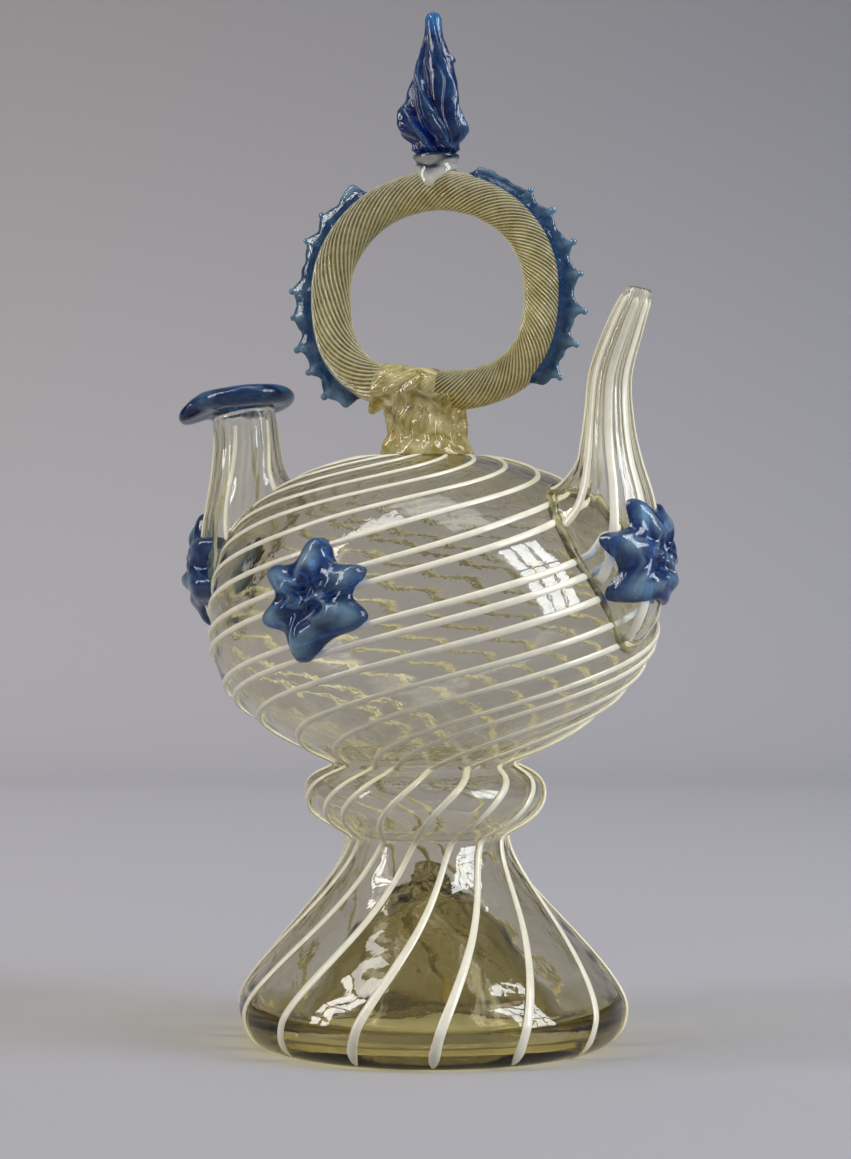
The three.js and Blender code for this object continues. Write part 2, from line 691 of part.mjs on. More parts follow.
// A ring of points round the middle line, smooth or with the twisted ribs
function ringSection(angle, radius, sides, lobeDepth = 0) {
  const { middle, out, side } = ringFrame(angle);
  const turn = lobeDepth > 0 ? angle * RING_TURNS : 0;
  return Array.from({ length: sides }, (_, j) => {
    const a = (j / sides) * 2 * Math.PI + turn;
    const r = radius - lobeDepth * (j % 2);
    return middle.clone().addScaledVector(out, Math.cos(a) * r).addScaledVector(side, Math.sin(a) * r);
  });
}

const ringAngles = Array.from({ length: RING_STEPS }, (_, i) => (i / RING_STEPS) * 2 * Math.PI);

// The handle is a ribbed rope of glass that meets itself after some whole turns
function ringHandle() {
  const sides = RING_LOBES * 2;
  const rings = ringAngles.map((angle) => ringSection(angle, RING_TUBE_RADIUS, sides, RING_LOBE_DEPTH));
  return solidOf(loft(rings, true));
}

// The same rope without ribs, grown by a gap: its neighbours are seated on this
function ringSeat(gap) {
  return solidOf(loft(ringAngles.map((angle) => ringSection(angle, RING_TUBE_RADIUS + gap, 16)), true));
}

// A wrap of clear glass round the ring where it meets the stem, ending in a round bead
function ringStrap(gap = 0) {
  const [start, end, steps] = [radians(244), radians(271), 4];
  const rings = Array.from({ length: steps + 1 }, (_, i) => {
    const t = i / steps;
    const swell = STRAP_THICKNESS * (0.55 + 0.45 * Math.sin(Math.PI * t) + 0.1 * Math.cos(6 * Math.PI * t));
    return ringSection(start + (end - start) * t, RING_TUBE_RADIUS + SEAT_GAP + swell + gap, 12);
  });
  const { middle, out } = ringFrame(start);
  const bead = new THREE.SphereGeometry(BEAD_RADIUS + gap, 10, 7);
  bead.translate(...middle.addScaledVector(out, RING_TUBE_RADIUS + STRAP_THICKNESS + BEAD_RADIUS * 0.3).toArray());
  return solidOf(loft(rings)).add(solidOf(bead)).subtract(ringSeat(SEAT_GAP - gap));
}

// A short ribbed column of clear glass, spread on the globe and cupped round the ring
function stem() {
  const foot = GLOBE_TOP - 2;
  const top = RING_HEIGHT - RING_HALF_HEIGHT - 0.6;
  const height = top - foot;
  const spread = [[0, STEM_FOOT_RADIUS], [0.35, STEM_RADIUS], [0.75, STEM_RADIUS * 0.97], [1, STEM_RADIUS * 1.04]];
  const sides = 18;
  const levels = [0, 0.14, 0.3, 0.6, 1];
  const rings = levels.map((share) => Array.from({ length: sides }, (_, j) => {
    const a = (j / sides) * 2 * Math.PI + share * 0.5;
    const radius = between(spread, share) - (j % 2) * 0.7;
    return v3(lean(GLOBE_TOP) + radius * Math.cos(a), radius * Math.sin(a), foot + share * height);
  }));
  return solidOf(loft(rings))
    .subtract(vesselSkin(SEAT_GAP))
    .subtract(ringSeat(SEAT_GAP))
    .subtract(ringStrap(SEAT_GAP));
}

// A strip of blue glass along the outside of the ring, pinched up into a row of spikes
function crest({ start, end, spikes }) {
  const half = CREST_WIDTH / 2;
  const seat = RING_TUBE_RADIUS + SEAT_GAP;
  const edge = Math.sqrt(seat ** 2 - half ** 2) + 0.1;
  const section = (angle, web, spike) => {
    const { middle, out, side } = ringFrame(radians(angle));
    const low = seat + web / 2;
    const top = seat + web + spike;
    const outline = [
      [-half, edge], [0, seat], [half, edge], [half * 0.7, low],
      [half * 0.28, top], [-half * 0.28, top], [-half * 0.7, low],
    ];
    return outline.map(([across, up]) => middle.clone().addScaledVector(out, up).addScaledVector(side, across));
  };
  const marks = [start, ...spikes.flatMap((angle) => [angle - CREST_PINCH, angle, angle + CREST_PINCH]), end];
  const angles = marks.flatMap((angle, i) => {
    const run = (marks[i + 1] ?? angle) - angle;
    const parts = Math.max(Math.ceil(run / CREST_LONGEST_STEP), 1);
    return Array.from({ length: parts }, (_, k) => angle + (run * k) / parts);
  });
  const rings = angles.map((angle) => {
    const web = angle === start || angle === end ? CREST_WEB * 0.4 : CREST_WEB;
    return section(angle, web, spikes.includes(angle) ? CREST_SPIKE : 0);
  });
  return solidOf(loft(rings));
}

// Finial

const RING_TOP = RING_HEIGHT + RING_HALF_HEIGHT + RING_TUBE_RADIUS;

function collar() {
  const low = RING_TOP - RING_TUBE_RADIUS * 0.35;
  const high = RING_TOP + COLLAR_HEIGHT;
  const profile = [
    v2(0, low),
    v2(COLLAR_RADIUS * 0.9, low),
    v2(COLLAR_RADIUS, RING_TOP + COLLAR_HEIGHT * 0.2),
    v2(COLLAR_RADIUS * 0.94, RING_TOP + COLLAR_HEIGHT * 0.5),
    v2(COLLAR_RADIUS * 1.16, RING_TOP + COLLAR_HEIGHT * 0.8),
    v2(COLLAR_RADIUS * 1.1, high),
    v2(0, high),
  ];
  const geometry = new THREE.LatheGeometry(profile, 18);
  geometry.rotateX(Math.PI / 2);
  geometry.translate(RING_OFFSET, 0, 0);
  return solidOf(geometry).subtract(ringSeat(SEAT_GAP));
}

// A flame: a tapering gather with twisted ridges and two leaves pulled out of its foot
function finial() {
  const outline = [
    [0, 0.72], [0.1, 0.9], [0.2, 0.96], [0.43, 0.86], [0.57, 0.73], [0.72, 0.54], [0.86, 0.35], [0.96, 0.22], [1, 0.1],
  ];
  const leaves = [
    { azimuth: radians(213), level: 0.2, reach: 4.6 },
    { azimuth: radians(20), level: 0.14, reach: 0.9 },
  ];
  const foot = RING_TOP + COLLAR_HEIGHT + SEAT_GAP;
  const sides = FINIAL_LOBES * 4;
  const steps = 12;
  const rings = Array.from({ length: steps + 1 }, (_, i) => {
    const share = i / steps;
    return Array.from({ length: sides }, (_, j) => {
      const a = (j / sides) * 2 * Math.PI;
      const ridge = 0.5 + 0.5 * Math.cos(FINIAL_LOBES * (a + share * FINIAL_TURN));
      let radius = FINIAL_RADIUS * between(outline, share) * (0.8 + 0.2 * ridge);
      for (const { azimuth, level, reach } of leaves) {
        const off = Math.atan2(Math.sin(a - azimuth), Math.cos(a - azimuth));
        radius += reach * Math.exp(-((off / 0.45) ** 2) - ((share - level) / 0.13) ** 2);
      }
      const sway = RING_OFFSET - 0.9 * share;
      return v3(sway + radius * Math.cos(a), radius * Math.sin(a), foot + share * FINIAL_HEIGHT);
    });
  });
  return solidOf(loft(rings));
}

// Assembly

const model = new THREE.Group();

function add(name, solid, look) {
  const mesh = new THREE.Mesh(geometryOf(withoutCrumbs(solid)), new THREE.MeshStandardMaterial(look));
  mesh.name = name;
  model.add(mesh);
}

const numbered = (word, i) => `${word}_${String(i + 1).padStart(2, '0')}`;
const skin = vesselSkin(SEAT_GAP);
const samples = outsideSamples();
const threadNumbers = Array.from({ length: THREAD_COUNT }, (_, i) => i);
const threadSeats = wasm.Manifold.union(threadNumbers.map((i) => thread(samples, i, SEAT_GAP)));

add('vessel', vessel(), clearGlass);
for (const i of threadNumbers) add(numbered('thread', i), thread(samples, i), creamGlass);

// The filler's neck stops under its rim, and both bells are notched where threads run under them
const seatHorn = (form, azimuth) => turned(horn(form), azimuth).subtract(skin).subtract(threadSeats);
add('filler_neck', seatHorn(FILLER, FILLER_AZIMUTH).subtract(fillerRim(SEAT_GAP)), clearGlass);
add('filler_rim', fillerRim(0), blueGlass);
add('spout', seatHorn(SPOUT, SPOUT_AZIMUTH), clearGlass);

// Threads drawn out with each horn, and the star that is pressed on over them
function dressHorn(form, azimuth, name, starHeight, starTurn) {
  const sideOf = (i) => Math.round(((i + 0.5) * form.sides) / form.threads);
  const all = (gap) => Array.from({ length: form.threads }, (_, i) => turned(hornThread(form, sideOf(i), gap), azimuth));
  all(0).forEach((solid, i) => add(numbered(`${name}_thread`, i), solid, creamGlass));
  const seat = wasm.Manifold.union([turned(hornBody(form, SEAT_GAP), azimuth), skin, threadSeats, ...all(SEAT_GAP)]);
  const reach = GLOBE_RADIUS * Math.max(...form.stations.map(({ outer }) => outer[0]));
  add(`prunt_${name}`, placed(star(GLOBE_RADIUS / 2.6, starTurn), reach, starHeight, azimuth).subtract(seat), blueGlass);
}
dressHorn(FILLER, FILLER_AZIMUTH, 'filler', MOUTH_HEIGHT - 2.5, 30);
dressHorn(SPOUT, SPOUT_AZIMUTH, 'spout', MOUTH_HEIGHT + 2, -5);

const frontStarHeight = EQUATOR_HEIGHT + FRONT_STAR_RISE;
const frontStar = placed(star(GLOBE_RADIUS, 30), GLOBE_RADIUS, frontStarHeight, FRONT_STAR_AZIMUTH);
add('prunt_front', frontStar.subtract(skin).subtract(threadSeats), blueGlass);

add('stem', stem(), strawGlass);
add('ring_handle', ringHandle(), strawGlass);
add('ring_strap', ringStrap(), strawGlass);
add('crest_left', crest(CREST_LEFT), blueGlass);
add('crest_right', crest(CREST_RIGHT), blueGlass);
add('finial_collar', collar(), clearGlass);
add('finial', finial(), blueGlass);

// The origin is on the table, under the middle of the box round the whole jug
const box = new THREE.Box3().setFromObject(model);
model.position.set(-(box.min.x + box.max.x) / 2, -(box.min.y + box.max.y) / 2, 0);

const jug = new THREE.Group();
jug.add(model);
export default jug;
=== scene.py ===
# %% [markdown]
# # A blown glass jug with a ring handle
#
# The object is a drinking jug of thin, slightly straw-coloured glass. One bubble makes the globe,
# the knop under it and the conical foot. White threads wind round the bubble. A wide filler, a
# pouring spout, a twisted ring handle, blue crests, blue pressed stars and a blue flame were all
# stuck on while the glass was hot.
#
# The CAD frame is loaded first and never moved. Every piece below stands where its CAD node
# stands, so the sizes are repeated here in millimetres about the axis of the foot, and one small
# function turns them into metres.

# %% The frame and the measures
import json
import bpy
import numpy as np
from mathutils import Vector
from numpy import clip, concatenate, cos, hypot, interp, linspace, maximum, minimum, pi
from numpy import radians, sin, sqrt, stack
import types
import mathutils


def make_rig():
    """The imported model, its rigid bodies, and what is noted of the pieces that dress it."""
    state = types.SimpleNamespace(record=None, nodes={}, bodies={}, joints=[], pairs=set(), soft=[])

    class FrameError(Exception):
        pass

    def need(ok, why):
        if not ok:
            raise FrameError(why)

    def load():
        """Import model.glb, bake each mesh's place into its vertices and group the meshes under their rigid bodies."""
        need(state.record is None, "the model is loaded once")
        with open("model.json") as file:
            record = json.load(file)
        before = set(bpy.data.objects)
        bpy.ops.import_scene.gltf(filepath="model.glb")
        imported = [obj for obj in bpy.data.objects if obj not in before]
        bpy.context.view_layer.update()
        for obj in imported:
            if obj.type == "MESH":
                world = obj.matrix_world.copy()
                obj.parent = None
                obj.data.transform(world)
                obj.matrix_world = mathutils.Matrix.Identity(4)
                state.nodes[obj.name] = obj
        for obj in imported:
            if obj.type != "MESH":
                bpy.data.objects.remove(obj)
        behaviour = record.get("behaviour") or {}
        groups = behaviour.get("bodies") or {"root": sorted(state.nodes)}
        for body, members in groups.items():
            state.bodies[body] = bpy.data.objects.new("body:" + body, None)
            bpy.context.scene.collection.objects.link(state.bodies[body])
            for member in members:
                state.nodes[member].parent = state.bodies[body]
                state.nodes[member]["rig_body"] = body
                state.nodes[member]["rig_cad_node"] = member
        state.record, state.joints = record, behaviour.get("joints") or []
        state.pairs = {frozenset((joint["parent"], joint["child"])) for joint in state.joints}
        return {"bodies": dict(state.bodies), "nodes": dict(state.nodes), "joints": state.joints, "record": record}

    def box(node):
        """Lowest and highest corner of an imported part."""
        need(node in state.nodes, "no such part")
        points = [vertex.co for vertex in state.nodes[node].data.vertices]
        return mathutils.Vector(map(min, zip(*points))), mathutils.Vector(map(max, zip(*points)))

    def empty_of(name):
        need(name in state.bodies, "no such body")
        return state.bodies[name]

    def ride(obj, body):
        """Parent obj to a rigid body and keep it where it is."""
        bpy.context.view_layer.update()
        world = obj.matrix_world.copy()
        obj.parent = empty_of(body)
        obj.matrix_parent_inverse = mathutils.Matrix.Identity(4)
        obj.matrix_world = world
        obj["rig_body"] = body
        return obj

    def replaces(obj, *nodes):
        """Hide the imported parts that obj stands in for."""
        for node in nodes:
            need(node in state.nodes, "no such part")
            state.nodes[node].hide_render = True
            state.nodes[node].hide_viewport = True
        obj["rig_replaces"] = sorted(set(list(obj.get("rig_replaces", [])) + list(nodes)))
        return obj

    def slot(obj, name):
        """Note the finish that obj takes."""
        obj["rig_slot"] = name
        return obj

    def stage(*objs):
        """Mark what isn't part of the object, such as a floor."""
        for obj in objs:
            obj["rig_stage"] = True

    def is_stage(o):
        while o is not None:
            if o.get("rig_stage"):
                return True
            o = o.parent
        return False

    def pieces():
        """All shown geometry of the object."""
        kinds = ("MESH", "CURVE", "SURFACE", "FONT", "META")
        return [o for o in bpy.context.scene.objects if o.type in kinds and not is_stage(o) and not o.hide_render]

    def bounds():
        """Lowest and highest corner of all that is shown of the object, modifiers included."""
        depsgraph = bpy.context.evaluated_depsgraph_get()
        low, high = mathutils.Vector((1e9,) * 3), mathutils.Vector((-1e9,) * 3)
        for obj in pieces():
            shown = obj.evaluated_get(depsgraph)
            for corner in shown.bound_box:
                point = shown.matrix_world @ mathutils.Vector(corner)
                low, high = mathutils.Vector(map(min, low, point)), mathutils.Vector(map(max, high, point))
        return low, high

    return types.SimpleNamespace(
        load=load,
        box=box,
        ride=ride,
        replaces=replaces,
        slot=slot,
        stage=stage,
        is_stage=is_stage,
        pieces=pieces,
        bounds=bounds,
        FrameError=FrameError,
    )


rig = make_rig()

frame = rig.load()
CAD_BOX = [list(corner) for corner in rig.bounds()]
MM = 0.001
LEAN_AT_EQUATOR = 0.4
vessel_low, vessel_high = (np.array(corner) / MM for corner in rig.box("vessel"))
AXIS = (vessel_low + vessel_high) / 2 * [1, 1, 0] - [LEAN_AT_EQUATOR, 0, 0]
print("axis of the foot in mm:", AXIS.round(2), "CAD nodes:", len(frame["nodes"]))

# %% [markdown]
# ## Surfaces from grids
#
# Nearly every piece is a closed skin whose points lie in rows, like the hoops of a barrel. Such a
# skin could be drawn by hand or spun with a modifier. A grid of points worked out with numpy is
# chosen because a formula for a point gives the whole piece at once, smooth at any size.

# %% Closed skins and meshes
def closed(rows, joined=False, inward=False):
    """A closed skin over rows of points. The columns close round. The rows join in a loop, or end
    in a fan on the middle of the first and of the last row. The faces are turned so that the
    volume inside is positive, or negative for the wall of an air space."""
    n, m, _ = rows.shape
    i = np.arange(n if joined else n - 1)[:, None]
    j = np.arange(m)[None, :]
    here, there, beside = i * m, (i + 1) % n * m, (j + 1) % m
    quads = stack(np.broadcast_arrays(here + j, here + beside, there + beside, there + j), -1)
    points, blocks = rows.reshape(-1, 3), [quads.reshape(-1, 4)]
    if not joined:
        points = concatenate([points, rows[:1].mean(1), rows[-1:].mean(1)])
        j, k, end = np.arange(m), (np.arange(m) + 1) % m, (n - 1) * m
        blocks.append(stack([k, j, np.full(m, n * m)], -1))
        blocks.append(stack([end + j, end + k, np.full(m, n * m + 1)], -1))
    triangles = concatenate([b[:, [0, k, k + 1]] for b in blocks for k in range(1, b.shape[1] - 1)])
    a, b, c = (points[triangles[:, k]] for k in range(3))
    volume = np.einsum("ij,ij->", a, np.cross(b, c)) / 6
    if (volume < 0) != inward:
        blocks = [block[:, ::-1] for block in blocks]
    return points, blocks


def mesh_of(name, skins):
    """One mesh from some skins, placed on the frame and turned into metres."""
    points, loops, sizes, start = [], [], [], 0
    for skin_points, blocks in skins:
        for block in blocks:
            loops.append((block + start).ravel())
            sizes.append(np.full(len(block), block.shape[1]))
        points.append(skin_points)
        start += len(skin_points)
    points, loops, sizes = (concatenate(part) for part in (points, loops, sizes))
    mesh = bpy.data.meshes.new(name)
    mesh.vertices.add(len(points))
    mesh.vertices.foreach_set("co", ((points + AXIS) * MM).astype(np.float32).ravel())
    mesh.loops.add(len(loops))
    mesh.loops.foreach_set("vertex_index", loops.astype(np.int32))
    mesh.polygons.add(len(sizes))
    mesh.polygons.foreach_set("loop_start", (np.cumsum(sizes) - sizes).astype(np.int32))
    mesh.update(calc_edges=True)
    mesh.validate()
    return mesh


def added(name, data):
    """A new object of the scene, at the origin and unturned."""
    made = bpy.data.objects.new(name, data)
    bpy.context.scene.collection.objects.link(made)
    return made


def finished(name, skins, finish, slot, *nodes, crease=50, rest=0.0, **numbers):
    """Makes some skins, or a mesh, a piece of the jug: its finish, its slot and the CAD nodes it
    stands for. Numbers from 0 to 1 may be kept on its points for the finish to read: they are
    given for the first points, and all other points keep the rest."""
    mesh = mesh_of(name, skins) if isinstance(skins, list) else skins
    for key, values in numbers.items():
        kept = np.full(len(mesh.vertices), rest, np.float32)
        kept[: values.size] = values.ravel()
        mesh.attributes.new(key, "FLOAT", "POINT").data.foreach_set("value", kept)
    mesh.polygons.foreach_set("use_smooth", np.ones(len(mesh.polygons), bool))
    mesh.set_sharp_from_angle(angle=radians(crease))
    mesh.materials.append(finish)
    piece = added(name, mesh)
    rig.ride(piece, "root")
    if nodes:
        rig.replaces(piece, *nodes)
    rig.slot(piece, slot)
    print(f"{name}: {len(mesh.polygons)} faces")


# %% Small helpers for grids and curves
def turns(count):
    """Angles evenly spaced round a full turn."""
    return np.arange(count) / count * 2 * pi


def grid(rows, columns):
    """Shares from 0 to 1 down the rows, and angles across the columns, of a skin."""
    return linspace(0, 1, rows)[:, None], turns(columns)


def point(x, y, z):
    """Points from their three coordinates, spread to one shape."""
    return stack(np.broadcast_arrays(x, y, z), -1)


def spun(x, y, angle):
    """Two coordinates turned through an angle, anticlockwise."""
    return x * cos(angle) - y * sin(angle), x * sin(angle) + y * cos(angle)


def ball(centre, radius, rows=20, columns=28, inward=False):
    """A sphere: circles whose radius is the sine, and whose height the cosine, of one angle, from
    just under one pole to just over the other."""
    v, u = linspace(0.05, pi - 0.05, rows)[:, None], turns(columns)
    sphere = point(sin(v) * cos(u), sin(v) * sin(u), cos(v))
    return closed(centre + radius * sphere, inward=inward)


def smooth(x, low, high):
    """An S-shaped step from 0 at low to 1 at high."""
    t = clip((x - low) / (high - low), 0, 1)
    return t * t * (3 - 2 * t)


def hill(x, centre, width, power=2):
    """A rise to 1 at its centre that has fallen to about a third one width away. A higher power
    makes its top flatter and its sides steeper."""
    return np.exp(-(((x - centre) / width) ** power))


def unit(v):
    """Each vector divided by its length."""
    return v / maximum(np.linalg.norm(v, axis=-1, keepdims=True), 1e-9)


def even(path, count):
    """The same path with its points evenly spaced along its length."""
    length = concatenate([[0], np.cumsum(np.linalg.norm(np.diff(path, axis=0), axis=1))])
    at = linspace(0, length[-1], count)
    return stack([interp(at, length, column) for column in path.T], -1)


def bezier(*corners, steps=60):
    """A cubic curve that leaves its first corner towards the second and arrives from the third."""
    p = np.array(corners, float)
    t = linspace(0, 1, steps, endpoint=False)[:, None]
    return (1 - t) ** 3 * p[0] + 3 * t * (1 - t) ** 2 * p[1] + 3 * t * t * (1 - t) * p[2] + t**3 * p[3]


# %% [markdown]
# ## The shader helper
#
# Finishes are built from shader nodes. Wiring nodes one by one hides the idea, so one small class
# wraps a socket and lets sums be written as sums. Any other node comes from its node method.

# %% Wire: shader maths as Python expressions
class Wire:
    """A socket of a shader tree, or the bare tree, on which sums and nodes can be written."""

    def __init__(self, tree, socket=None):
        self.tree = tree
        self.socket = socket

    def node(self, kind, settings=(), output=0, **inputs):
        """A new node of a kind, with its settings first and then values or links for its sockets,
        which go by their names or by i and their number."""
        made = self.tree.nodes.new("ShaderNode" + kind)
        for key, value in dict(settings).items():
            setattr(made, key, value)
        for key, value in inputs.items():
            socket = made.inputs[int(key[1:]) if key[1:].isdigit() else key.replace("_", " ")]
            if isinstance(value, Wire):
                self.tree.links.new(value.socket, socket)
            else:
                socket.default_value = value
        return Wire(self.tree, made.outputs[output] if made.outputs else None)

    def math(self, operation, left, right):
        """A Math node on two values."""
        return self.node("Math", {"operation": operation}, i0=left, i1=right)

    def __add__(self, other):
        return self.math("ADD", self, other)

    def __sub__(self, other):
        return self.math("SUBTRACT", self, other)

    def __rsub__(self, other):
        return self.math("SUBTRACT", other, self)

    def __mul__(self, other):
        return self.math("MULTIPLY", self, other)

    def __pow__(self, other):
        return self.math("POWER", self, other)

    __radd__, __rmul__ = __add__, __mul__


def new_finish(name):
    """An empty material and a wire to its tree."""
    material = bpy.data.materials.new(name)
    material.use_nodes = True
    material.node_tree.nodes.clear()
    return material, Wire(material.node_tree)


def coordinates(where):
    """The three numbers of a place."""
    return [where.node("SeparateXYZ", output=k, Vector=where) for k in range(3)]


def kept_number(start, name):
    """A number that was kept on the points of the mesh."""
    return start.node("Attribute", {"attribute_name": name}, output=2)


def blend(factor, low, high):
    """A colour between two others."""
    low, high = (tone if isinstance(tone, Wire) else (*tone, 1) for tone in (low, high))
    return factor.node("Mix", {"data_type": "RGBA"}, output=2, i0=factor, i6=low, i7=high)


def ranged(value, low, high):
    """How far a value is from low to high, from 0 to 1."""
    return value.node("MapRange", {"clamp": True}, i0=value, i1=low, i2=high, i3=0.0, i4=1.0)


# %% [markdown]
# ## The finishes
#
# All of it is glass. Clear glass bends light, so it gets full transmission and a real index of
# refraction, and its tint comes from the depth that light passes through, as in the real metal of
# an old furnace: pale where the wall is thin and olive where it is thick. Hand-worked glass is
# never flat, so a faint bump of soft noise bends its highlights. Shadow rays pass straight
# through, because a shadow through a lens would take too many rays to be smooth.
#
# Straw and blue glass are cloudier, so only a part of the light passes them. A paint gives the
# colour of the rest: streaks that were drawn out with the glass, or two colours told apart by a
# number that is kept on the mesh. On the ribbed rod that number is how near a point is to the
# crest of a rib, which paints a highlight on each crest and shade in each valley. On the flame it
# paints a highlight along the edges of its folds. The horns have cream glass drawn into them in
# fine lines, and the collar has some blue swirled in.

# %% Glass
REFRACTION = 1.5


def glass(name, tint, shade, ripple, scale, depth=8, roughness=0.02, clearness=1.0, paint=None, cloud=None):
    """Glass whose colour deepens with thickness: tint is what is left of white light after a
    depth in millimetres, and shade what is left of it in a shadow. Ripple is the height of its
    unevenness in millimetres and scale its fineness. Clearness is the share of light that passes
    the surface, and paint gives the colour of the rest. Cloud names the number kept on the mesh
    that says how much cream glass is drawn in."""
    material, start = new_finish(name)
    where = start.node("TexCoord", output=3)
    noise = start.node("TexNoise", Vector=where, Scale=scale, Detail=4.0, Roughness=0.58)
    bump = start.node("Bump", Height=noise, Strength=1.0, Distance=ripple * MM)
    body = start.node("BsdfPrincipled", Base_Color=paint(where, noise) if paint else (1, 1, 1, 1),
                      IOR=REFRACTION, Transmission_Weight=clearness, Normal=bump,
                      Roughness=noise * (roughness * 0.6) + roughness * 0.7)
    if cloud:
        cream = start.node("BsdfPrincipled", Base_Color=(0.84, 0.80, 0.66, 1), IOR=REFRACTION,
                           Normal=bump, Roughness=0.12)
        body = start.node("MixShader", i0=kept_number(start, cloud), i1=body, i2=cream)
    clear = start.node("BsdfTransparent", Color=(*shade, 1))
    is_shadow = start.node("LightPath", output=1)
    surface = start.node("MixShader", i0=is_shadow, i1=body, i2=clear)
    loss = -np.log(np.array(tint)) / (depth * MM)
    density = loss.max() * 1.02
    volume = start.node("VolumeAbsorption", Color=(*(1 - loss / density), 1), Density=density)
    start.node("OutputMaterial", Surface=surface, Volume=volume)
    return material


def olive_foot(where, noise):
    """White, but olive-brown over the pushed-up kick and the floor, where the glass is thick: the
    mask is one where height plus distance from the axis is under 50 mm."""
    x, y, height = coordinates(where)
    x, y = x - AXIS[0] * MM, y - AXIS[1] * MM
    reach = (x * x + y * y) ** 0.5 + height
    return blend(ranged(reach, 0.058, 0.050), (0.925, 0.915, 0.89), (0.75, 0.705, 0.47))


def streaked(deep, light, size=90.0):
    """A paint of drawn-out streaks between a deep and a light colour."""
    def paint(where, noise):
        streak = where.node("TexNoise", Vector=where, Scale=size, Detail=3.0, Distortion=1.5)
        return blend(ranged(streak, 0.36, 0.68), deep, light)
    return paint


def by_number(name, low, high, mottle=0.3):
    """A paint between two colours, by a number kept on the mesh and some mottling."""
    def paint(where, noise):
        value = kept_number(where, name) + noise * mottle
        return blend(ranged(value, mottle * 0.5, mottle * 0.5 + 1), low, high)
    return paint


def cream_glass(name):
    """Opaque white glass drawn thin: cream and shiny, with faint streaks, and with a painted shade that
    makes it greyer on the side that lies on the clear wall, where little light reaches it."""
    material, start = new_finish(name)
    where = start.node("TexCoord", output=3)
    noise = start.node("TexNoise", Vector=where, Scale=350.0, Detail=3.0)
    lit = blend(noise, (0.60, 0.56, 0.45), (0.79, 0.755, 0.63))
    # Painted shade: points that face the clear wall take a flat greyer colour instead of the lit cream.
    colour = blend(kept_number(start, "under"), lit, (0.60, 0.585, 0.53))
    bump = start.node("Bump", Height=noise, Strength=0.5, Distance=0.05 * MM)
    surface = start.node("BsdfPrincipled", Base_Color=colour, Roughness=0.16, Normal=bump, IOR=REFRACTION,
                         Subsurface_Weight=0.15, Subsurface_Radius=(0.5, 0.45, 0.3), Subsurface_Scale=0.002)
    start.node("OutputMaterial", Surface=surface)
    return material


# %% The finishes of the jug
CLEAR_SHADE, BLUE_SHADE = (0.96, 0.96, 0.93), (0.3, 0.45, 0.75)
CLEAR = glass("clear_straw_tinted_glass", (0.845, 0.80, 0.60), CLEAR_SHADE, ripple=0.09, scale=110.0,
              paint=olive_foot)
STRAW = glass("straw_glass", (0.92, 0.87, 0.58), (0.9, 0.88, 0.72), ripple=0.22, scale=300.0,
              roughness=0.03, clearness=0.74,
              paint=streaked((0.44, 0.37, 0.13), (1.0, 0.97, 0.74), 170.0))
SEAM = glass("olive_seam_glass", (0.7, 0.66, 0.36), (0.8, 0.78, 0.6), ripple=0.1, scale=300.0,
             depth=2, roughness=0.06, clearness=0.5,
             paint=streaked((0.16, 0.15, 0.07), (0.66, 0.62, 0.40), 150.0))
# The rib number paints a highlight on the crest of each rib and shade in the valleys between them.
ROPE = glass("ribbed_straw_glass", (0.90, 0.86, 0.62), (0.85, 0.83, 0.66), ripple=0.42, scale=240.0,
             clearness=0.64, paint=by_number("rib", (0.30, 0.25, 0.10), (1.0, 0.97, 0.78), 1.1))
SWIRL = glass("clear_glass_with_blue_swirl", (0.80, 0.78, 0.66), (0.9, 0.93, 0.95), ripple=0.1,
              scale=250.0, clearness=0.62,
              paint=by_number("blue", (0.74, 0.72, 0.64), (0.008, 0.03, 0.085)))
DRAWN = glass("drawn_straw_glass", (0.82, 0.785, 0.60), CLEAR_SHADE, ripple=0.07, scale=110.0, cloud="line")
BLUE = glass("deep_blue_glass", (0.36, 0.56, 0.82), BLUE_SHADE, ripple=0.35, scale=260.0, depth=4,
             roughness=0.05, clearness=0.6, paint=streaked((0.006, 0.032, 0.13), (0.075, 0.225, 0.42)))
TEAL = glass("thin_blue_glass", (0.5, 0.7, 0.8), (0.4, 0.55, 0.75), ripple=0.34, scale=300.0, depth=4,
             roughness=0.03, clearness=0.72,
             paint=by_number("pale", (0.014, 0.07, 0.18), (0.42, 0.62, 0.72), 1.0))
# The pale colour of the flame is a painted highlight along its fold edges, and the paler glass of its tip.
FLAME = glass("flame_blue_glass", (0.28, 0.46, 0.82), BLUE_SHADE, ripple=0.3, scale=340.0, depth=4,
              roughness=0.035, clearness=0.6,
              paint=by_number("pale", (0.003, 0.018, 0.10), (0.08, 0.30, 0.60), 0.9))
PRESSED = glass("pressed_blue_glass", (0.46, 0.67, 0.86), BLUE_SHADE, ripple=0.3, scale=220.0, depth=4,
                roughness=0.05, clearness=0.62,
                paint=by_number("pale", (0.007, 0.040, 0.15), (0.31, 0.48, 0.59), 0.6))
CREAM = cream_glass("cream_thread_glass")
JUG_FINISHES = (CLEAR, STRAW, SEAM, ROPE, SWIRL, DRAWN, BLUE, TEAL, FLAME, PRESSED, CREAM)
print("finishes:", [material.name for material in JUG_FINISHES])

# %% [markdown]
# ## The bubble
#
# Globe, knop and foot are one blown wall. Its outline is a chain of smooth curves, read upwards
# from the ring that it stands on. The wall is about 2 mm thick, and the floor is pushed up from
# below into a kick with a scar on its tip, where the iron held it. The axis leans a little from
# height to height, as it does on hand-blown work.

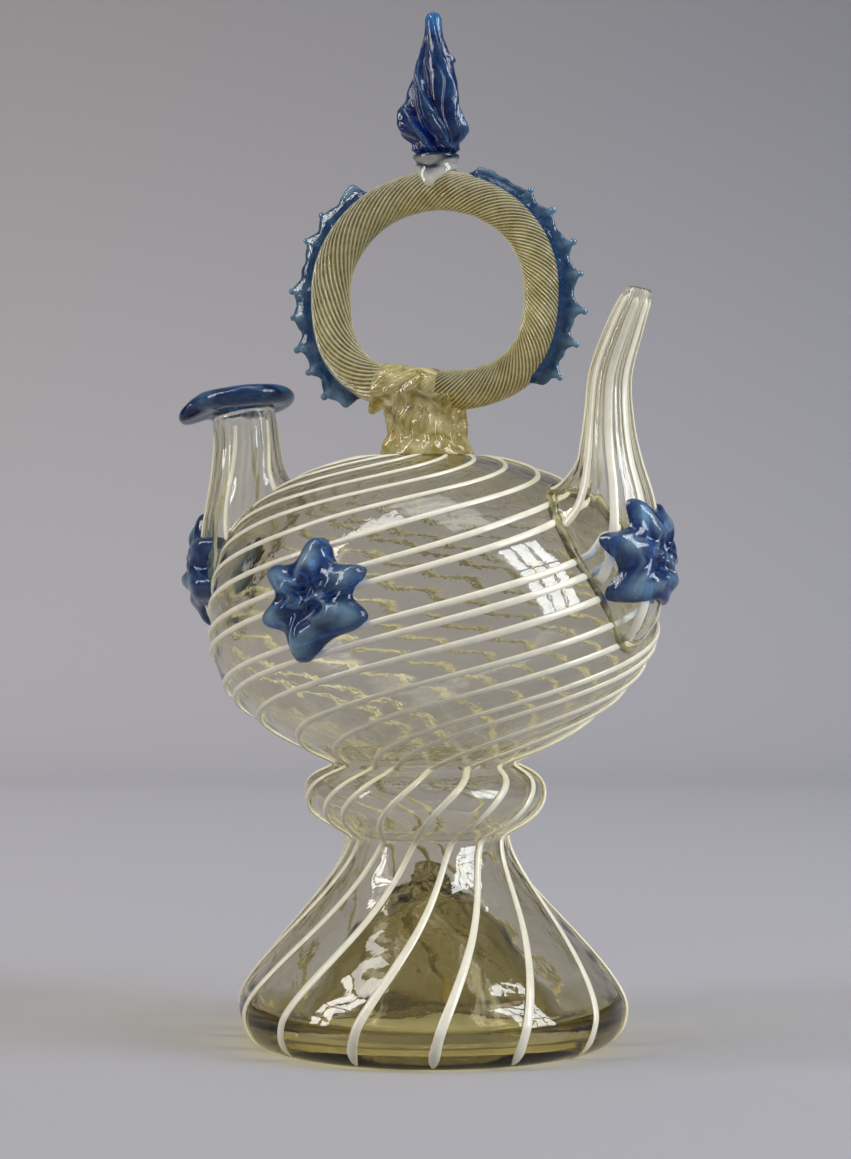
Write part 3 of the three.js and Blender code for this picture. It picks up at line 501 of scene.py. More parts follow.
# %% The outline of the bubble
# Radii and heights in millimetres, from the foot up. The globe springs from the waist at SPRING.
REST_INNER, REST_OUTER, FOOT_RADIUS, HEEL = 39, 45, 52.4, 10
NECK_RADIUS, NECK = 21.5, 55.6
KNOP_RADIUS, KNOP = 32.3, 67.3
WAIST_RADIUS, WAIST = 24.6, 75.7
GLOBE_RADIUS, EQUATOR, TOP = 60.6, 114.3, 160.0
SPRING = (36.0, 81.6)
WALL, FLOOR = 2.0, 3.4
SLOPE = np.array(spun(1, 0, radians(31)))

heel = bezier((REST_OUTER, 0), (49.07, 0), (FOOT_RADIUS, 4.5), (FOOT_RADIUS, HEEL))
flank = bezier((FOOT_RADIUS, HEEL), (FOOT_RADIUS, 19.1), (23.0, 41.9), (NECK_RADIUS, NECK))
knop_under = bezier((NECK_RADIUS, NECK), (NECK_RADIUS, 58.2), (KNOP_RADIUS, 60.05), (KNOP_RADIUS, KNOP))
knop_over = bezier((KNOP_RADIUS, KNOP), (KNOP_RADIUS, 73.6), (WAIST_RADIUS, 73.6), (WAIST_RADIUS, WAIST))
shoulder = bezier((WAIST_RADIUS, WAIST), (WAIST_RADIUS, 77.0), SPRING - SLOPE * 5.9, SPRING)
globe_under = bezier(SPRING, SPRING + SLOPE * 14.02, (GLOBE_RADIUS, 97.3), (GLOBE_RADIUS, EQUATOR))
globe_over = bezier((GLOBE_RADIUS, EQUATOR), (GLOBE_RADIUS, 141.7), (36.4, TOP), (0.05, TOP))
OUTSIDE = concatenate([heel, flank, knop_under, knop_over, shoulder, globe_under, globe_over])
kick_slope = bezier((REST_INNER, 0), (30.0, 12.0), (23.4, 25.8), (13.0, 33.6))
kick_tip = bezier((13.0, 33.6), (7.4, 37.8), (4.6, 38.6), (4.1, 41.5))
kick_scar = bezier((4.1, 41.5), (3.8, 43.6), (2.6, 45.4), (0.05, 45.6))
KICK = concatenate([kick_slope, kick_tip, kick_scar])
GLOBE_LINE = OUTSIDE[OUTSIDE[:, 1] > WAIST]


def globe_radius(height):
    """The outside radius of the globe at a height."""
    return interp(height, GLOBE_LINE[:, 1], GLOBE_LINE[:, 0])


def lean(height):
    """How far the axis wanders along X: smooth steps between the neck, knop, globe and top."""
    levels = [0, NECK, KNOP, 87.5, EQUATOR, TOP]
    shifts = [0, -1.8, -2.6, -3.1, LEAN_AT_EQUATOR, -2]
    total = np.zeros_like(height)
    for low, high, before, after in zip(levels, levels[1:], shifts, shifts[1:]):
        total = total + (after - before) * smooth(height, low, high)
    return total


def twist(height):
    """Degrees that the bubble was twisted up to a height: the area under its rate of twist."""
    levels = [0, 15, 30, 50, KNOP, WAIST, 91.1, 139.9, 149.9, TOP]
    rates = [0, 0.6, 0.9, 1.0, 1.9, 2.6, 3.5, 3.6, 6, 6.8]
    fine = linspace(0, TOP, 1601)
    rate = interp(fine, levels, rates)
    area = concatenate([[0], np.cumsum((rate[1:] + rate[:-1]) / 2 * np.diff(fine))])
    return interp(height, fine, area)


def outward(path):
    """The direction away from the glass at each point of an outline read upwards."""
    along = unit(np.gradient(path, axis=0))
    return stack([along[:, 1], -along[:, 0]], -1)


def about_axis(radius, around, height):
    """Points at a distance and in a direction from the leaning axis, at a height."""
    return point(radius * cos(around) + lean(height), radius * sin(around), height)


print("outline:", len(OUTSIDE), "points, twisted by", round(float(twist(TOP))), "degrees in all")

# %% The wall of the bubble
THREADS, PHASE = 15, 140
OFF_KICK = 58  # radius plus height is more than this on the wall, and less on the kick


def revolved(path, wave, columns=150):
    """A path of radius and height carried round the leaning axis. The wave, in millimetres, swells
    the radius along the twisted threads, as glass gathers under them, and wears the foot with
    small crossing ripples."""
    around = turns(columns)
    radius, height = path[:, :1], path[:, 1:]
    gathered = cos(radians(THREADS * (np.degrees(around) - PHASE - twist(height))))
    gathered = gathered * smooth(height, 8, 20) * smooth(radius, 6, 16)
    gathered = gathered * (1 - 0.65 * smooth(height, WAIST, 95))
    worn = sin(23 * around + height / 1.7) * sin(9 * around - height / 2.9)
    worn = worn + sin(height / 1.3 - 5 * around)
    worn = 0.75 * worn * smooth(height, 6, 14) * (1 - smooth(height, 45, 60))
    return about_axis(radius + wave * (gathered + worn) * (radius + height > OFF_KICK), around, height)


def kick_worn(points):
    """The kick's own unevenness: a few soft folds that grow towards a ragged scar at its tip."""
    x, y, height = np.moveaxis(points, -1, 0)
    x = x - lean(height)
    around, radius = np.arctan2(y, x), hypot(x, y)
    high = smooth(height, 8, 36) * (1 - smooth(radius + height, OFF_KICK - 4, OFF_KICK + 2))
    folds = 0.7 * sin(3 * around + height / 7) + 0.4 * sin(5 * around - height / 4)
    ragged = 0.7 * sin(7 * around + height) + 0.5 * sin(4 * around - 2 * height)
    grow = 1 + high * (folds + ragged * smooth(height, 36, 41)) / maximum(radius, 4)
    return stack([x * grow + lean(height), y * grow, height], -1)


def bubbles(count, golden=137.508):
    """Small air bubbles in the thick glass of the heel and of the kick: the inward skins of
    spheres, scattered evenly by steps of the golden angle."""
    number = np.arange(count)
    size = 0.2 + 0.25 * (number * 0.618 % 1) ** 2
    over_heel = stack([41.5 + 6 * (number * 0.755 % 1), 2.2 + 1.6 * (number * 0.57 % 1)], -1)
    in_kick = KICK[(20 + number * 7) % 120] + [0, 1.6]
    radius, height = np.where((number % 3 < 2)[:, None], over_heel, in_kick).T
    centres = about_axis(radius, radians(golden * number), height)
    return [ball(centre, r, rows=6, columns=8, inward=True) for centre, r in zip(centres, size)]


outer = concatenate([KICK[::-1], OUTSIDE])
over_kick = KICK[KICK[:, 1] > 3] + [0, FLOOR]
round_heel = [[38.0, 5.6], [42.0, 4.9], [47.0, 6.4]]
inner_wall = (OUTSIDE - outward(OUTSIDE) * WALL)[len(heel):]
inner = concatenate([over_kick[::-1], round_heel, inner_wall[inner_wall[:, 1] > 11]])
inner[-1] = [0.05, TOP - WALL]
inner = inner[inner[:, 0] >= 0.04]
vessel_mesh = mesh_of("blown_vessel", [
    closed(kick_worn(revolved(even(outer, 330), wave=0.13))),
    closed(kick_worn(revolved(even(inner, 230), wave=0.075)), inward=True), *bubbles(120),
])
print("vessel:", len(vessel_mesh.vertices), "points")

# %% [markdown]
# The filler and the spout meet the globe over holes that were pierced through the hot wall. A hole
# could be left out of the grid, but a short drill and the Boolean modifier cut it cleanly through
# both skins, so that is what is done here.

# %% The two pierced holes
MOUTH = 130.0
FILLER_AZIMUTH, SPOUT_AZIMUTH = 195.0, 0.0
HOLES = [(FILLER_AZIMUTH, 8.0), (SPOUT_AZIMUTH, 3.0)]


def turned(points, azimuth):
    """Points made over +X, turned round the axis to an azimuth in degrees."""
    x, y, z = np.moveaxis(points, -1, 0)
    return point(*spun(x, y, radians(azimuth)), z)


def drill(azimuth, radius):
    """A round rod that points outwards at an azimuth, at the height of both mouths."""
    around, reach = turns(40), linspace(42, 75, 4)[:, None]
    return closed(turned(point(reach, radius * cos(around), MOUTH + radius * sin(around)), azimuth))


def pierced(mesh, skins):
    """The mesh after a rod is taken away from it for each skin."""
    body, rods = added("piercing", mesh), added("rods", mesh_of("rods", skins))
    cut = body.modifiers.new("holes", "BOOLEAN")
    cut.operation, cut.solver, cut.object = "DIFFERENCE", "EXACT", rods
    result = bpy.data.meshes.new_from_object(body.evaluated_get(bpy.context.evaluated_depsgraph_get()))
    for made in (body, rods):
        bpy.data.objects.remove(made)
    return result


vessel_mesh = pierced(vessel_mesh, [drill(azimuth, radius) for azimuth, radius in HOLES])
finished("blown_vessel", vessel_mesh, CLEAR, "clear_glass", "vessel")

# %% [markdown]
# ## The white threads
#
# Rods of opaque white glass were laid along the small bubble, which was then twisted and blown, so
# they wind round the jug: steep on the foot, nearly level on the globe. Each one is a flattened
# bead carried along a path on the wall. It bows aside where a hole was pierced, because piercing
# pushes the hot glass away.

# %% Laying the threads
# By how many degrees each thread strays from its even place, which the arms of the stars do too.
WANDER = [5, 4, 4, -6, -7, -7, -5, -5, -4, -1, 4, -3, 10, 1, 1]


def bowed(azimuth, height):
    """Where a point of a thread moves to when the holes push the glass aside: its distance from a
    hole's middle becomes the root of its square plus the square of the hole's spread."""
    for hole, radius in HOLES:
        spread = radius + 1.8
        across = radians((azimuth - hole + 180) % 360 - 180) * GLOBE_RADIUS
        up = height - MOUTH
        distance = hypot(across, up)
        fade = 1 - smooth(distance, 1.5 * spread, 3 * spread)
        push = fade * (hypot(distance, spread) / maximum(distance, 0.01) - 1) * (height > WAIST)
        azimuth = azimuth + np.degrees(across * push / GLOBE_RADIUS)
        height = height + up * push
    return azimuth, height


def bead(path, normals, widths, rise, lift=0.03, columns=10):
    """A flattened half-round bead along a path: half its width times the cosine across, and its
    rise times one plus the sine upwards, drawn in to nothing at both ends. Also how far each of
    its points faces the wall, which the cream finish turns into painted shade."""
    across = unit(np.cross(unit(np.gradient(path, axis=0)), normals))
    around = turns(columns)
    ends = minimum(np.arange(len(path)), np.arange(len(path))[::-1])
    taper = sqrt(clip(ends / 3, 0.05, 1))[:, None, None]
    side = across[:, None] * (widths[:, None] / 2 * cos(around))[..., None] * taper
    up = normals[:, None] * (lift + rise * (1 + sin(around)) / 2 * taper[..., 0])[..., None]
    # How far each point faces the wall, kept on the mesh for the painted shade of the cream finish.
    under = np.broadcast_to(smooth(-sin(around), -0.1, 0.5), (len(path), columns))
    return closed(path[:, None] + side + up), under


def laid_thread(number):
    """A bead wound up the wall from the foot to the stem, with the bubble's own twist. It is
    widest at the heel, thins up the foot and again near the stem, and swells a little here and
    there."""
    profile = even(OUTSIDE, 900)
    kept = (profile[:, 1] > 1.1) & ((profile[:, 0] > 14.6) | (profile[:, 1] < EQUATOR))
    (radius, level), (out, up) = profile[kept].T, outward(profile)[kept].T
    azimuth, height = bowed(PHASE + number * 360 / THREADS + WANDER[number] + twist(level), level)
    radius = np.where(abs(height - level) > 1e-6, globe_radius(height), radius)
    around = radians(azimuth)
    path = about_axis(radius, around, height)
    facing = point(*spun(out, 0, around), up)
    both = even(concatenate([path, facing * 0.001], -1), 260)
    path, facing = both[:, :3], unit(both[:, 3:])
    height = path[:, 2]
    width = (2.5 - 0.75 * smooth(height, NECK * 0.2, NECK)) * (1 - 0.25 * smooth(height, 140, TOP))
    width = width * (1 + 0.08 * sin(height / 9 + number)) * (1.3 - 0.3 * smooth(height, 1, 9))
    return bead(path, facing, width, rise=0.85)


for number in range(THREADS):
    name = f"thread_{number + 1:02d}"
    skin, under = laid_thread(number)
    finished("laid_" + name, [skin], CREAM, "cream_glass", name, under=under)

# %% [markdown]
# ## The filler and the spout
#
# Both are drawn out of a gather that was pressed on the globe over a hole and pulled upwards, so
# each spreads into a bell where it sits. The form is a row of ovals. Each oval is set by its inner
# edge, its outer edge and its width, and a smooth curve runs through the stations. The lower
# edge is not trimmed: every line up the horn simply starts where it leaves the globe.

# %% The form of a horn
SEAT = 0.12  # how far off the globe a horn starts
# Each station: out and up to the inner edge, out and up to the outer edge, half width, narrowing.
FILLER = np.array([
    [30.0, 147.0, 53.0, 108.0, 14.5, 0.30], [39.0, 150.5, 62.5, 110.0, 17.0, 0.35],
    [42.0, 153.0, 66.5, 120.0, 15.0, 0.25], [43.8, 156.0, 67.0, 134.0, 13.0, 0.15],
    [44.8, 159.5, 65.3, 146.0, 10.8, 0.08], [45.4, 163.5, 63.9, 155.0, 9.4, 0.0],
    [46.0, 168.0, 63.4, 163.0, 8.9, 0.0], [47.0, 174.3, 64.4, 171.3, 8.7, 0.0],
])
SPOUT = np.array([
    [34.0, 149.0, 54.0, 107.0, 14.5, 0.30], [42.0, 151.5, 63.0, 109.0, 17.0, 0.35],
    [46.0, 155.0, 68.5, 118.0, 15.5, 0.25], [48.0, 158.0, 69.0, 132.0, 13.5, 0.15],
    [48.4, 161.5, 66.5, 146.0, 10.8, 0.08], [48.8, 166.0, 63.0, 157.0, 8.2, 0.0],
    [49.2, 171.0, 61.0, 167.0, 6.5, 0.0], [50.3, 181.0, 60.6, 178.5, 5.1, 0.0],
    [55.4, 193.0, 64.0, 190.5, 4.3, 0.0], [61.0, 202.6, 67.5, 200.9, 3.3, 0.0],
])


def through(stations, t):
    """A smooth curve through the stations: cubic pieces whose slope at each station is taken from
    its two neighbours."""
    last = len(stations) - 1
    x = clip(t, 0, 1) * last
    i = minimum(x.astype(int), last - 1)
    f = (x - i)[..., None]
    slope = np.gradient(stations, axis=0)
    a, b, from_a, to_b = stations[i], stations[i + 1], slope[i], slope[i + 1]
    return (a * (2 * f**3 - 3 * f**2 + 1) + from_a * (f**3 - 2 * f**2 + f)
            + b * (3 * f**2 - 2 * f**3) + to_b * (f**3 - f**2))


def horn_point(stations, t, angle, inset, azimuth):
    """A point on an oval of the horn: cosine along the line from its inner to its outer edge, sine
    sideways, drawn in by an inset and narrowed at the toe."""
    t, angle = np.broadcast_arrays(t, angle)
    v = through(stations, t)
    deep, middle = (v[..., 2:4] - v[..., 0:2]) / 2, (v[..., 2:4] + v[..., 0:2]) / 2
    depth = np.linalg.norm(deep, axis=-1)
    reach = (cos(angle) * (1 - inset / depth))[..., None] * deep + middle
    half = (v[..., 4] - inset) * (1 - clip(v[..., 5], 0, 1) * clip(cos(angle), 0, 1))
    return turned(point(reach[..., 0], sin(angle) * half, reach[..., 1]), azimuth)


def seated(stations, angle, inset, azimuth, gap):
    """The place along each line of the horn, from 0 to 1, where it leaves the globe: the last one
    that is not yet a gap outside the globe, measured level from its leaning axis."""
    t = linspace(0, 0.6, 500)[:, None]
    x, y, z = np.moveaxis(horn_point(stations, t, angle, inset, azimuth), -1, 0)
    out = hypot(x - lean(z), y) - np.where(z > TOP, 0, globe_radius(z)) - gap
    last = len(t) - 1 - np.argmax((out < 0)[::-1], axis=0)
    return t[minimum(last + 1, len(t) - 1), 0]


def horn(stations, azimuth, wall, end, cloud, rows=110, columns=180):
    """A skin of ovals, the outside and the bore, which start on the globe and meet in a rounded
    lip at the mouth. The outside swells into a rolled edge where it starts, and has faint
    lengthwise flutes from being drawn out. Also how much cream is drawn into each of its points:
    fine lines that fade towards the bell."""
    angle = turns(columns)
    share = linspace(0, 1, rows)[:, None] ** 1.15
    skins = []
    for inset in (0, wall):
        start = seated(stations, angle, inset, azimuth, SEAT)
        roll = 0.9 * hill(share, 0.018, 0.02) * (inset == 0)
        flute = 0.09 * cos(21 * angle + 2 * sin(2 * angle)) * smooth(share, 0.1, 0.4) * (1 - share**8)
        t = start + (end - start) * share
        skins.append(horn_point(stations, t, angle, inset - roll - flute, azimuth))
    outside, bore = skins
    middle, half = (outside[-1] + bore[-1]) / 2, (outside[-1] - bore[-1]) / 2
    up = unit(outside[-1] - outside[-4]) * wall / 2
    lip = [middle + half * cos(a) + up * sin(a) for a in radians([30, 60, 90, 120, 150])]
    line = 0.45 + 0.35 * cos(31 * angle + 3 * sin(2 * angle)) + 0.2 * cos(43 * angle)
    line = cloud * line * smooth(share, 0.12, 0.55)
    return closed(concatenate([outside, lip, bore[::-1]]), joined=True), line


def seam(stations, azimuth, thickness, rows=200, columns=12):
    """A trail of glass squeezed out all round where a horn sits: a small circle carried round the
    line on which the horn leaves the globe, with a slow swelling and thinning."""
    angle, a = turns(rows), turns(columns)[None, :, None]
    start = seated(stations, angle, 0, azimuth, SEAT)
    start = (np.roll(start, 1) + start * 2 + np.roll(start, -1)) / 4
    path = horn_point(stations, start + 0.004, angle, -0.1, azimuth)
    along = unit(np.roll(path, -1, axis=0) - np.roll(path, 1, axis=0))
    across = unit(np.cross(along, unit(path - [0, 0, EQUATOR])))
    out = np.cross(across, along)
    size = thickness * (1 + 0.25 * sin(3 * angle + 1) + 0.12 * sin(11 * angle))
    ring = across[:, None] * cos(a) + out[:, None] * sin(a) * 0.8
    return closed(path[:, None] + ring * size[:, None, None], joined=True)


for name, (skin, line) in [
    ("filler_neck", horn(FILLER, FILLER_AZIMUTH, wall=1.8, end=0.96, cloud=0.22)),
    ("spout", horn(SPOUT, SPOUT_AZIMUTH, wall=1.5, end=0.992, cloud=0.5, rows=150)),
]:
    finished(f"{name}_glass", [skin], DRAWN, "clear_glass", name, line=line)
finished("filler_seam", [seam(FILLER, FILLER_AZIMUTH, thickness=0.7)], SEAM, "straw_glass")
finished("spout_seam", [seam(SPOUT, SPOUT_AZIMUTH, thickness=1.15)], SEAM, "straw_glass")

# %% [markdown]
# The gathers carried white threads too. They were drawn out with the glass, so they run up each
# horn and become finer towards its mouth.

# %% Threads on the filler and the spout
def horn_thread(stations, azimuth, angle, drift, end, width):
    """A bead up the outside of a horn at one angle, drifting round by some degrees."""
    share = linspace(0, 1, 160)
    a = radians(angle + drift * share)
    start = seated(stations, a[:1], 0, azimuth, 0.6)[0] + 0.01
    t = start + (end - start) * share
    path, before, after = (horn_point(stations, t, a + step, 0, azimuth) for step in (0, -0.05, 0.05))
    normals = unit(np.cross(unit(after - before), unit(np.gradient(path, axis=0))))
    return bead(path, normals, width * (1 - 0.45 * t), rise=0.5, lift=0.02, columns=8)


def dress(stations, azimuth, name, count, end, width, drift):
    """All the threads of one horn, one piece for each CAD node."""
    for number in range(count):
        piece = f"{name}_thread_{number + 1:02d}"
        skin, under = horn_thread(stations, azimuth, (number + 0.5) * 360 / count, drift, end, width)
        finished("drawn_" + piece, [skin], CREAM, "cream_glass", piece, under=under)


dress(FILLER, FILLER_AZIMUTH, "filler", count=6, end=0.9, width=1.7, drift=4)
dress(SPOUT, SPOUT_AZIMUTH, "spout", count=8, end=0.975, width=2.9, drift=10)

# %% [markdown]
# ## The rim of the filler
#
# A thick collar of blue glass was wrapped round the mouth and folded into a disc, and the end of
# the wrap was pulled out into a tail. It is a ring of blunt ovals that swell outwards at the tail.

# %% The blue rim
# Its circle: the radius, how far the middle is from the jug's axis, and the height.
RIM_RADIUS, RIM_REACH, RIM_LEVEL = 10.3, 55.7, 174.5


def filler_rim(rows=160, columns=40):
    """Ovals carried round a circle and tipped onto the neck: the tail reaches out, droops and
    thins, a groove follows the wrap, and the wrap swells a little once round."""
    around, a = turns(rows)[:, None], turns(columns)
    off = np.angle(np.exp(1j * (around - radians(18))))
    tail = hill(off, 0, 0.42, 4)
    out = clip(cos(a), 0, 1)
    squareness = np.sign(cos(a)) * abs(cos(a)) ** 0.9
    uneven = 0.25 * sin(3 * around + 1) + 0.15 * sin(7 * around)
    radius = RIM_RADIUS + (4.4 + 0.3 * uneven) * squareness + tail * out**0.6 * 3.2
    groove = 1 - 0.1 * hill(sin((a - 0.75 + 0.25 * off) / 2), 0, 0.09)
    height = (2.75 + 0.3 * uneven) * sin(a) * groove * (1 + 0.15 * tail * out) - tail * out * 2.9
    height = height + 0.25 * sin(2 * around + 0.6)
    y, z = spun(radius * sin(around), height, radians(6))
    z, x = spun(z, radius * cos(around), radians(9))
    return closed(turned(point(x + RIM_REACH, y, z + RIM_LEVEL), FILLER_AZIMUTH), joined=True)


finished("filler_rim_glass", [filler_rim()], BLUE, "blue_glass", "filler_rim")

# %% [markdown]
# ## The pressed stars
#
# A hot blob of blue glass was dropped on the wall and pressed with a ribbed stamp, which pushes
# out six arms and leaves a dimple. The front is a domed star in rings about its middle. The back
# follows what carries it, which for the two bells is found from points on the horn itself.

# %% Stars
STAR_RADIUS, STAR_VALLEY = 16.2, 11.4
STAR_WANDER = np.array([0, 0, 1, -11, -14, 16])
PALM = 0.8  # thickness of a star between its arms at the edge


def on_globe(y, z, azimuth):
    """The globe's outside over points of the star's plane."""
    return sqrt(maximum(globe_radius(z) ** 2 - y**2, 0)) + lean(z) * cos(radians(azimuth))


def on_horn(stations, near=0.9):
    """A cloth laid over a horn: at each point, the mean of the points on the horn's outside,
    weighed by how near they are."""
    t, a = np.meshgrid(linspace(0.05, 0.75, 150), linspace(-1.7, 1.7, 90), indexing="ij")
    x, y, z = np.moveaxis(horn_point(stations, t, a, 0, 0.0).reshape(-1, 3), -1, 0)

    def cover(py, pz, azimuth):
        weight = np.exp(-((py[..., None] - y) ** 2 + (pz[..., None] - z) ** 2) / (2 * near**2))
        total = weight.sum(-1)
        found, beside = (weight * x).sum(-1) / maximum(total, 1e-9), on_globe(py, pz, azimuth)
        return np.where(total > 0.4, maximum(found, beside), beside)

    return cover


def star(ground, azimuth, level, turn, bend, thickness, rows=30, columns=120):
    """A domed blob with six arms. From the middle outwards each ring follows the star's outline,
    and its height is a dome with a ridge along each arm, over the ground that carries it. Also
    how pale each of its points is."""
    a = turns(columns)
    arm = a / (2 * pi) * 6
    low = arm.astype(int)
    drift = STAR_WANDER[low % 6] + (STAR_WANDER[(low + 1) % 6] - STAR_WANDER[low % 6]) * (arm - low)
    at = a + radians(turn + drift)
    wave = 0.5 + 0.5 * cos(6 * a)
    outline = STAR_VALLEY + (STAR_RADIUS - STAR_VALLEY) * (0.8 * wave**1.6 + 0.2 * wave**0.6)
    share = sin(linspace(0.02, 1, rows) * pi / 2)[:, None]
    y, z = share * outline * cos(at), share * outline * sin(at) + level
    floor = ground(y, z, azimuth)
    middle = ground(np.zeros(1), np.full(1, float(level)), azimuth)[0]
    base = maximum(middle - (share * outline) ** 2 / (2 * bend), floor + 0.3)
    dome = sqrt(clip(1 - share**6, 0, 1))
    ridge = 0.72 + 0.28 * wave**1.5 * smooth(share, 0.12, 0.45)
    dimple = 1.6 * hill(share, 0.22, 0.12) - 0.5 * hill(share, 0.5, 0.15)
    swirl = 0.7 * sin(2 * a + 8 * share) * smooth(share, 0.05, 0.3) * (1 - smooth(share, 0.55, 0.9))
    swirl = swirl + 0.3 * sin(9 * a - 13 * share + 2 * sin(3 * a)) * smooth(share, 0.3, 0.5) * dome
    front = base + PALM + (thickness - PALM) * dome * ridge - dimple + swirl
    back = maximum(floor + 0.35, base - 2.6)[::-1]
    rings = concatenate([point(front, y, z), point(back, y[::-1], z[::-1])])
    pale = 0.9 * hill(share, 0.76, 0.17) * wave**1.5 + 0.5 * smooth(swirl, 0.1, 0.5)
    return closed(turned(rings, azimuth)), clip(concatenate([pale, pale[::-1]]), 0, 1)


# Each star: what carries it, its azimuth and height, its turn, the radius it bends to, its
# thickness.
STARS = {
    "front": (on_globe, -87.5, 120.5, 30, GLOBE_RADIUS, 4.1),
    "filler": (on_horn(FILLER), FILLER_AZIMUTH, MOUTH - 2.5, 30, 23.3, 3.8),
    "spout": (on_horn(SPOUT), SPOUT_AZIMUTH, MOUTH + 2, -5, 23.3, 3.3),
}
for name, form in STARS.items():
    skin, pale = star(*form)
    finished(f"star_{name}", [skin], PRESSED, "blue_glass", f"prunt_{name}", crease=80, pale=pale)

# %% [markdown]
# ## The ring handle
#
# The handle is a rod of straw-coloured glass with fine ribs, twisted like a rope and bent into a
# ring that is flattened where it rests on its stem. Its ribs lie almost lengthwise on the left and
# steeply across on the right. The grid turns with the ribs, so each column stays on one rib.

# %% The line of the ring
RING_MIDDLE, RING_CENTRE, RING_ACROSS, RING_UP = 1, 203.9, 30.8, 27.2
TUBE, YAW = 5.5, radians(13)


def ring_line(angle):
    """The middle line and its outward and sideways directions: a circle above, and below a
    rounder-cornered form of power 2.7."""
    def flat(a):
        power = np.where(sin(a) < 0, 2 / 2.7, 1.0)
        across = RING_ACROSS * np.sign(cos(a)) * abs(cos(a)) ** power
        return across, RING_UP * np.sign(sin(a)) * abs(sin(a)) ** power

    x, z = flat(angle)
    (x1, z1), (x0, z0) = flat(angle + 0.02), flat(angle - 0.02)
    step = unit(point(x1 - x0, z1 - z0, 0))
    out = point(*spun(step[..., 1], 0, YAW), -step[..., 0])
    side = np.broadcast_to([*spun(0, 1, YAW), 0.0], out.shape)
    x, y = spun(x, 0, YAW)
    return point(RING_MIDDLE + x, y, RING_CENTRE + z), out, side


def around_ring(angle, turn, radius):
    """Points on a circle about the middle line, turned from its outward direction."""
    middle, out, side = ring_line(angle)
    return middle + (out * cos(turn)[..., None] + side * sin(turn)[..., None]) * radius[..., None]


def beside_ring(x, y):
    """How far points are to one side of the upright plane that the ring lies in."""
    return spun(x - RING_MIDDLE, y, -YAW)[1]


# %% The twisted rod
RIBS = 26


def rope(rows=420, columns=RIBS * 6):
    """A ribbed circle carried round the ring. The turn grows with the slope of the ribs there, and
    comes out as a whole number of ribs, so the last row meets the first. Also by how many columns
    it turned, and how near each point is to the crest of its rib, squared, which the finish
    paints as a highlight on the crest and as shade in the valley."""
    angle = turns(rows)
    slope = interp(np.degrees(angle), [0, 60, 90, 130, 180, 235, 270, 300, 360],
                      [48, 46, 42, 28, 18, 22, 38, 46, 48])
    middle, _, _ = ring_line(angle)
    step = np.linalg.norm(np.roll(middle, -1, axis=0) - middle, axis=1)
    turn = np.cumsum(np.tan(radians(slope)) / TUBE * step)
    whole = np.round(turn[-1] * RIBS / (2 * pi)) * 2 * pi / RIBS
    turn = concatenate([[0], turn[:-1]]) * whole / turn[-1]
    a = turns(columns)
    rib = 0.5 + 0.5 * cos(RIBS * a)
    radius = TUBE - 0.62 + 0.6 * rib**0.8 + 0.04 * cos(3 * a)
    points = around_ring(angle[:, None], a - turn[:, None], radius)
    return points, int(np.round(whole * columns / (2 * pi))), np.broadcast_to(rib**2, (rows, columns))


def looped(points, shift):
    """The rope's skin, whose last row meets its first one turned by some columns."""
    n, m, _ = points.shape
    skin_points, (quads,) = closed(points, joined=True)
    row = quads // m
    across = (row.min(1) == 0) & (row.max(1) == n - 1)
    meeting = across[:, None] & (row == 0)
    return skin_points, [np.where(meeting, (quads + shift) % m, quads)]


rope_points, rope_shift, rib_highlight_and_shade = rope()
rope_skin = looped(rope_points, -rope_shift)
finished("ring_rope", [rope_skin], ROPE, "straw_glass", "ring_handle", crease=80, rib=rib_highlight_and_shade)
print("rope turned by", rope_shift, "columns of", RIBS * 6)

# %% [markdown]
# ## The strap and the stem
#
# The ring was fixed with a wrap of straw-coloured glass that ends in a small bead, and it stands
# on a short crinkled stem. The stem is a column whose foot lies on the globe and whose top is
# hollowed to take the ring.

# %% The strap
STRAP_START, STRAP_SPAN = 244, 27  # degrees round the ring


def strap(rows=130, columns=128):
    """A sleeve round the ring, thick in its middle, with slanting wrinkles and a swelling at its
    end, closed by its own inner skin just clear of the rope."""
    share, a = grid(rows, columns)
    angle, arch = radians(STRAP_START + STRAP_SPAN * share), sin(pi * share)
    wrinkle = 0.3 * sin(9 * a + 22 * share) * arch + 0.15 * sin(23 * share + 2 * a)
    wrinkle = wrinkle + 0.14 * abs(sin(13 * a - 30 * share)) * arch
    swell = 0.55 + 0.45 * arch + 1.5 * hill(share, 0.07, 0.09) * clip(cos(a), 0, 1)
    swell = swell * clip(arch * 6, 0, 1)
    outside = around_ring(angle, a, TUBE + 0.12 + swell + wrinkle * 0.8)
    inside = around_ring(angle, a, np.full(1, TUBE + 0.06))
    return closed(concatenate([outside, inside[::-1]]), joined=True)


start_middle, start_out, _ = ring_line(radians(STRAP_START + 1))
strap_bead = ball(start_middle + start_out * (TUBE + 1.5), 1.4)
finished("ring_strap_glass", [strap(), strap_bead], STRAW, "straw_glass", "ring_strap")


